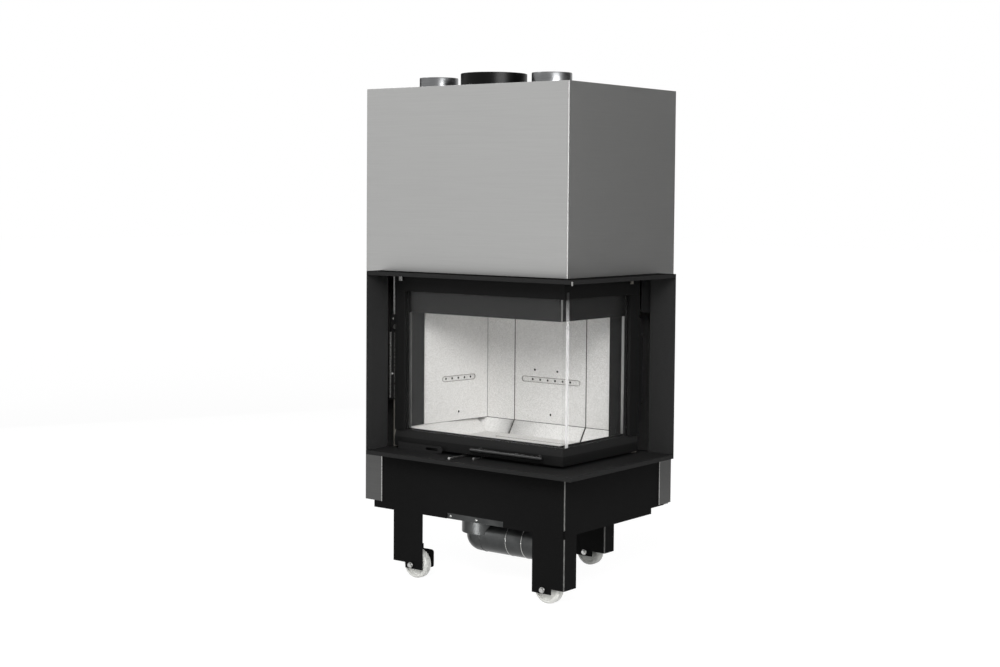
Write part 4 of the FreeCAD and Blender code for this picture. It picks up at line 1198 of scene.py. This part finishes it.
@dataclass
class LiftGear:
    """Guides, cables, pulleys' brackets and counterweights behind the casing."""

    guide_edge: float = 0.8
    bracket_edge: float = 0.4
    weight_edge: float = 3.0
    cable_radius: float = 3.0
    cable_lay: float = 36.0
    strands: int = 6
    pulley_height: float = 1397.0
    pulley_radius: float = 40.0
    wrap_sides: int = 14
    wrap_steps: int = 32
    lift_places: tuple[tuple[str, float, float], ...] = (("left", -327.0, -200.0), ("right", 295.0, 184.0))

    def build(self) -> None:
        """Build the steel parts, then the cables."""
        eased("door_guides", DULL_ZINC, self.guide_edge)
        eased("pulley_brackets", GALVANISED, self.bracket_edge)
        for weight in (Body.WEIGHT_LEFT, Body.WEIGHT_RIGHT):
            eased(weight.value, CAST_IRON, self.weight_edge, body=weight)
        bottom = box_mm("lift_cables")[0].z
        for side, x, y in self.lift_places:
            lift = self.cable("lift_cable_" + side, x, y, bottom)
            if side == "left":
                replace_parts(lift, "lift_cables")
            weight = Body["WEIGHT_" + side.upper()]
            node = "weight_cable_" + side
            foot = box_mm(node)[0].z
            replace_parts(self.cable(node + "_laid", x, y + 2 * self.pulley_radius, foot), node)
        self.wraps()

    def cable(self, name: str, x: float, y: float, foot: float) -> Object:
        """Build one upright wire rope that stretches between its pulley and what it carries.

        Args:
            name: Name of the piece.
            x: Centre line in millimetres.
            y: Centre line in millimetres.
            foot: Height of the lower end in millimetres.

        Returns:
            The cable.
        """
        bm = bmesh.new()
        rope(bm, (x, y, foot), self.pulley_height - foot, self.cable_radius, self.strands, self.cable_lay)
        made = piece(bm, name, ZINC_PLATE, body=None)
        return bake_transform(made)

    def wraps(self) -> None:
        """Build the half turns of cable over the pulleys."""
        bm = bmesh.new()
        for _, x, y in self.lift_places:
            before = set(bm.verts)
            made = bmesh.ops.create_circle(bm, segments=self.wrap_sides,
                                           radius=self.cable_radius * MM)["verts"]
            bmesh.ops.translate(bm, vec=Vector((x, y, self.pulley_height)) * MM, verts=made)
            axle = Vector((x, y + self.pulley_radius, self.pulley_height)) * MM
            bmesh.ops.spin(bm, geom=made + edges_of(made), cent=axle, axis=-ALONG_X, angle=math.pi,
                           steps=self.wrap_steps)
            new = fresh(bm, before)
            bmesh.ops.recalc_face_normals(bm, faces=list({f for v in new for f in v.link_faces}))
        bmesh.ops.holes_fill(bm, edges=[e for e in bm.edges if e.is_boundary], sides=0)
        piece(bm, "cable_wraps_laid", ZINC_PLATE, ["cable_wraps"])


@dataclass
class AirControls:
    """Painted air slide in front of the door."""

    edge: float = 0.6

    def build(self) -> None:
        """Build the slide plate."""
        eased("air_slide", FRAME_PAINT, self.edge, body=Body.AIR_SLIDE)


def staged(bm: BMesh, name: str, material: Material) -> Object:
    """Turn a bmesh into a stage object.

    Args:
        bm: Mesh, freed here.
        name: Name of the object.
        material: Its material.

    Returns:
        The stage object.
    """
    mesh = bpy.data.meshes.new(name)
    bm.to_mesh(mesh)
    bm.free()
    mesh.materials.append(material)
    made = bpy.data.objects.new(name, mesh)
    bpy.context.scene.collection.objects.link(made)
    return made


@dataclass(frozen=True)
class Screen:
    """Upright grey screen that faces the object and shows only in reflections, with its sizes in metres."""

    side: str
    place: Place
    half_side: float
    tone: str
    roughness: float = 0.9

    def build(self) -> None:
        """Add the screen to the stage."""
        material = bpy.data.materials.new("grey_studio_screen_" + self.side)
        material.use_nodes = True
        shader = material.node_tree.nodes["Principled BSDF"]
        shader.inputs["Base Color"].default_value = linear(self.tone)
        shader.inputs["Roughness"].default_value = self.roughness
        bm = bmesh.new()
        made = bmesh.ops.create_grid(bm, x_segments=1, y_segments=1, size=self.half_side)["verts"]
        turn = Vector((-self.place[0], -self.place[1], 0.0)).to_track_quat("Z", "Y").to_matrix().to_4x4()
        bmesh.ops.transform(bm, matrix=Matrix.Translation(self.place) @ turn, verts=made)
        staged(bm, "studio_screen_" + self.side, material).visible_camera = False


@dataclass(frozen=True)
class Lamp:
    """Soft lamp: its place, the point that it faces and its size in metres, and its power in watts.

    A mirrored lamp only gleams in metal and paint, and lights nothing else. The beam's spread is in degrees.
    """

    name: str
    place: Place
    target: Place
    size: Pair
    power: float
    mirrored: bool = False
    spread: float = 180.0

    def build(self) -> None:
        """Add the lamp to the scene."""
        data = bpy.data.lights.new(self.name, "AREA")
        data.shape = "RECTANGLE"
        data.size, data.size_y = self.size
        data.energy = self.power
        data.spread = math.radians(self.spread)
        made = bpy.data.objects.new(self.name, data)
        made.location = self.place
        made.rotation_euler = (Vector(self.target) - Vector(self.place)).to_track_quat("-Z", "Y").to_euler()
        made.visible_glossy = self.mirrored
        made.visible_diffuse = not self.mirrored
        made.visible_camera = False
        bpy.context.scene.collection.objects.link(made)


SCREENS = (
    Screen("right", (1.95, 1.75, 1.3), 1.6, "#777777"),
    Screen("left", (-3.4, 1.6, 1.4), 1.6, "#2a2a2a"),
)
LAMPS = (
    Lamp("key_softbox", (2.5, -3.8, 3.0), (0.0, 0.0, 0.7), (2.0, 2.0), 205.0),
    Lamp("fill_softbox", (-3.0, -3.8, 2.2), (0.0, 0.0, 0.8), (2.0, 2.0), 60.0),
    Lamp("strip_softbox", (3.6, -2.0, 1.7), (0.0, 0.0, 1.3), (2.4, 1.0), 200.0, mirrored=True),
    Lamp("top_softbox", (-2.6, -2.4, 3.6), (0.0, 0.0, 0.5), (1.0, 1.0), 25.0, mirrored=True),
    Lamp("floor_card", (-0.02, -1.05, 0.02), (-0.02, -0.2, 0.04), (0.28, 0.4), 0.45, mirrored=True,
         spread=28.0),
    Lamp("side_softbox", (4.0, -0.6, 1.5), (0.0, 0.0, 0.7), (1.0, 1.0), 30.0),
)


@dataclass
class Studio:
    """White studio: floor, light and the photograph's camera."""

    image_width: float = 1000.0
    focal_px: float = 1631.0
    axis_above_centre_px: float = 50.0
    sensor: float = 36.0
    place: Place = (2.917, -3.874, 1.138)
    yaw: float = 37.74
    pitch: float = 3.08
    roll: float = 0.46
    ambient: float = 0.47
    white: str = "#ffffff"
    floor_tone: str = "#f2f2f2"
    floor_glow: float = 1.1
    floor_glow_share: float = 0.86
    floor_half_side: float = 30.0

    def build(self) -> None:
        """Build the camera, the light and the floor."""
        bpy.context.scene.view_settings.view_transform = "Standard"
        self.camera()
        self.world()
        self.floor()
        for item in (*SCREENS, *LAMPS):
            item.build()

    def camera(self) -> None:
        """Build the camera from its fitted yaw, pitch and roll."""
        yaw, pitch, roll = (math.radians(angle) for angle in (self.yaw, self.pitch, self.roll))
        level_reach = math.cos(pitch)
        ahead = Vector((-math.sin(yaw) * level_reach, math.cos(yaw) * level_reach, -math.sin(pitch)))
        level = Vector((math.cos(yaw), math.sin(yaw), 0))
        above = level.cross(ahead)
        right = math.cos(roll) * level + math.sin(roll) * above
        top = -math.sin(roll) * level + math.cos(roll) * above
        data = bpy.data.cameras.new("photo_camera")
        data.sensor_width = self.sensor
        data.lens = self.focal_px * self.sensor / self.image_width
        data.shift_y = -self.axis_above_centre_px / self.image_width
        made = bpy.data.objects.new("photo_camera", data)
        turn = Matrix((right, top, -ahead)).transposed().to_4x4()
        made.matrix_world = Matrix.Translation(self.place) @ turn
        bpy.context.scene.collection.objects.link(made)
        bpy.context.scene.camera = made

    def seen_directly(self, tree: NodeTree) -> Node:
        """Return a node that is one for camera, mirror and glass rays."""
        path = add(tree, "LightPath")
        both = add(tree, "Math", links={0: (path, "Is Camera Ray"), 1: (path, "Is Glossy Ray")})
        return add(tree, "Math", links={0: (both, 0), 1: (path, "Is Transmission Ray")}, use_clamp=True)

    def world(self) -> None:
        """Build the white surroundings."""
        world = bpy.data.worlds.new("white_studio")
        world.use_nodes = True
        tree = world.node_tree
        tree.nodes.clear()
        seen = add(tree, "Background", {"Strength": 1.0, "Color": linear(self.white)})
        light = add(tree, "Background", {"Strength": self.ambient, "Color": linear(self.white)})
        mix = add(tree, "MixShader", links={0: (self.seen_directly(tree), 0), 1: (light, 0), 2: (seen, 0)})
        add(tree, "OutputWorld", links={"Surface": (mix, 0)})
        bpy.context.scene.world = world

    def floor(self) -> None:
        """Build the pale floor that keeps a faint shadow."""
        material = bpy.data.materials.new("white_studio_floor")
        material.use_nodes = True
        tree = material.node_tree
        tree.nodes.clear()
        matt = add(tree, "BsdfDiffuse", {"Color": linear(self.floor_tone)})
        glow = add(tree, "Emission", {"Color": linear(self.white), "Strength": self.floor_glow})
        share = add(tree, "Math", {1: self.floor_glow_share}, {0: (self.seen_directly(tree), 0)},
                    operation="MULTIPLY")
        mix = add(tree, "MixShader", links={0: (share, 0), 1: (matt, 0), 2: (glow, 0)})
        add(tree, "OutputMaterial", links={"Surface": (mix, 0)})
        bm = bmesh.new()
        bmesh.ops.create_grid(bm, x_segments=1, y_segments=1, size=self.floor_half_side)
        staged(bm, "studio_floor", material)


def dress_cad_nodes() -> None:
    """Give the CAD nodes that stay in view their finishes."""
    for finish, names in CAD_FINISHES.items():
        for name in names.split():
            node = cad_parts[name]
            node.data.materials.clear()
            node.data.materials.append(finish.material())
            LOG.info("%s: CAD node in %s", name, finish.name)


def main() -> None:
    """Build every part of the insert and the studio."""
    logging.basicConfig(level=logging.INFO, format="%(name)s: %(message)s")
    dress_cad_nodes()
    for part in (Casing(), TopCollars(), OpeningFrame(), WheeledBase(), AirInlet(), Firebox(), Door(),
                 LiftGear(), AirControls()):
        LOG.info("building %s", type(part).__name__)
        part.build()
    Studio().build()


if __name__ == "__main__":
    main()
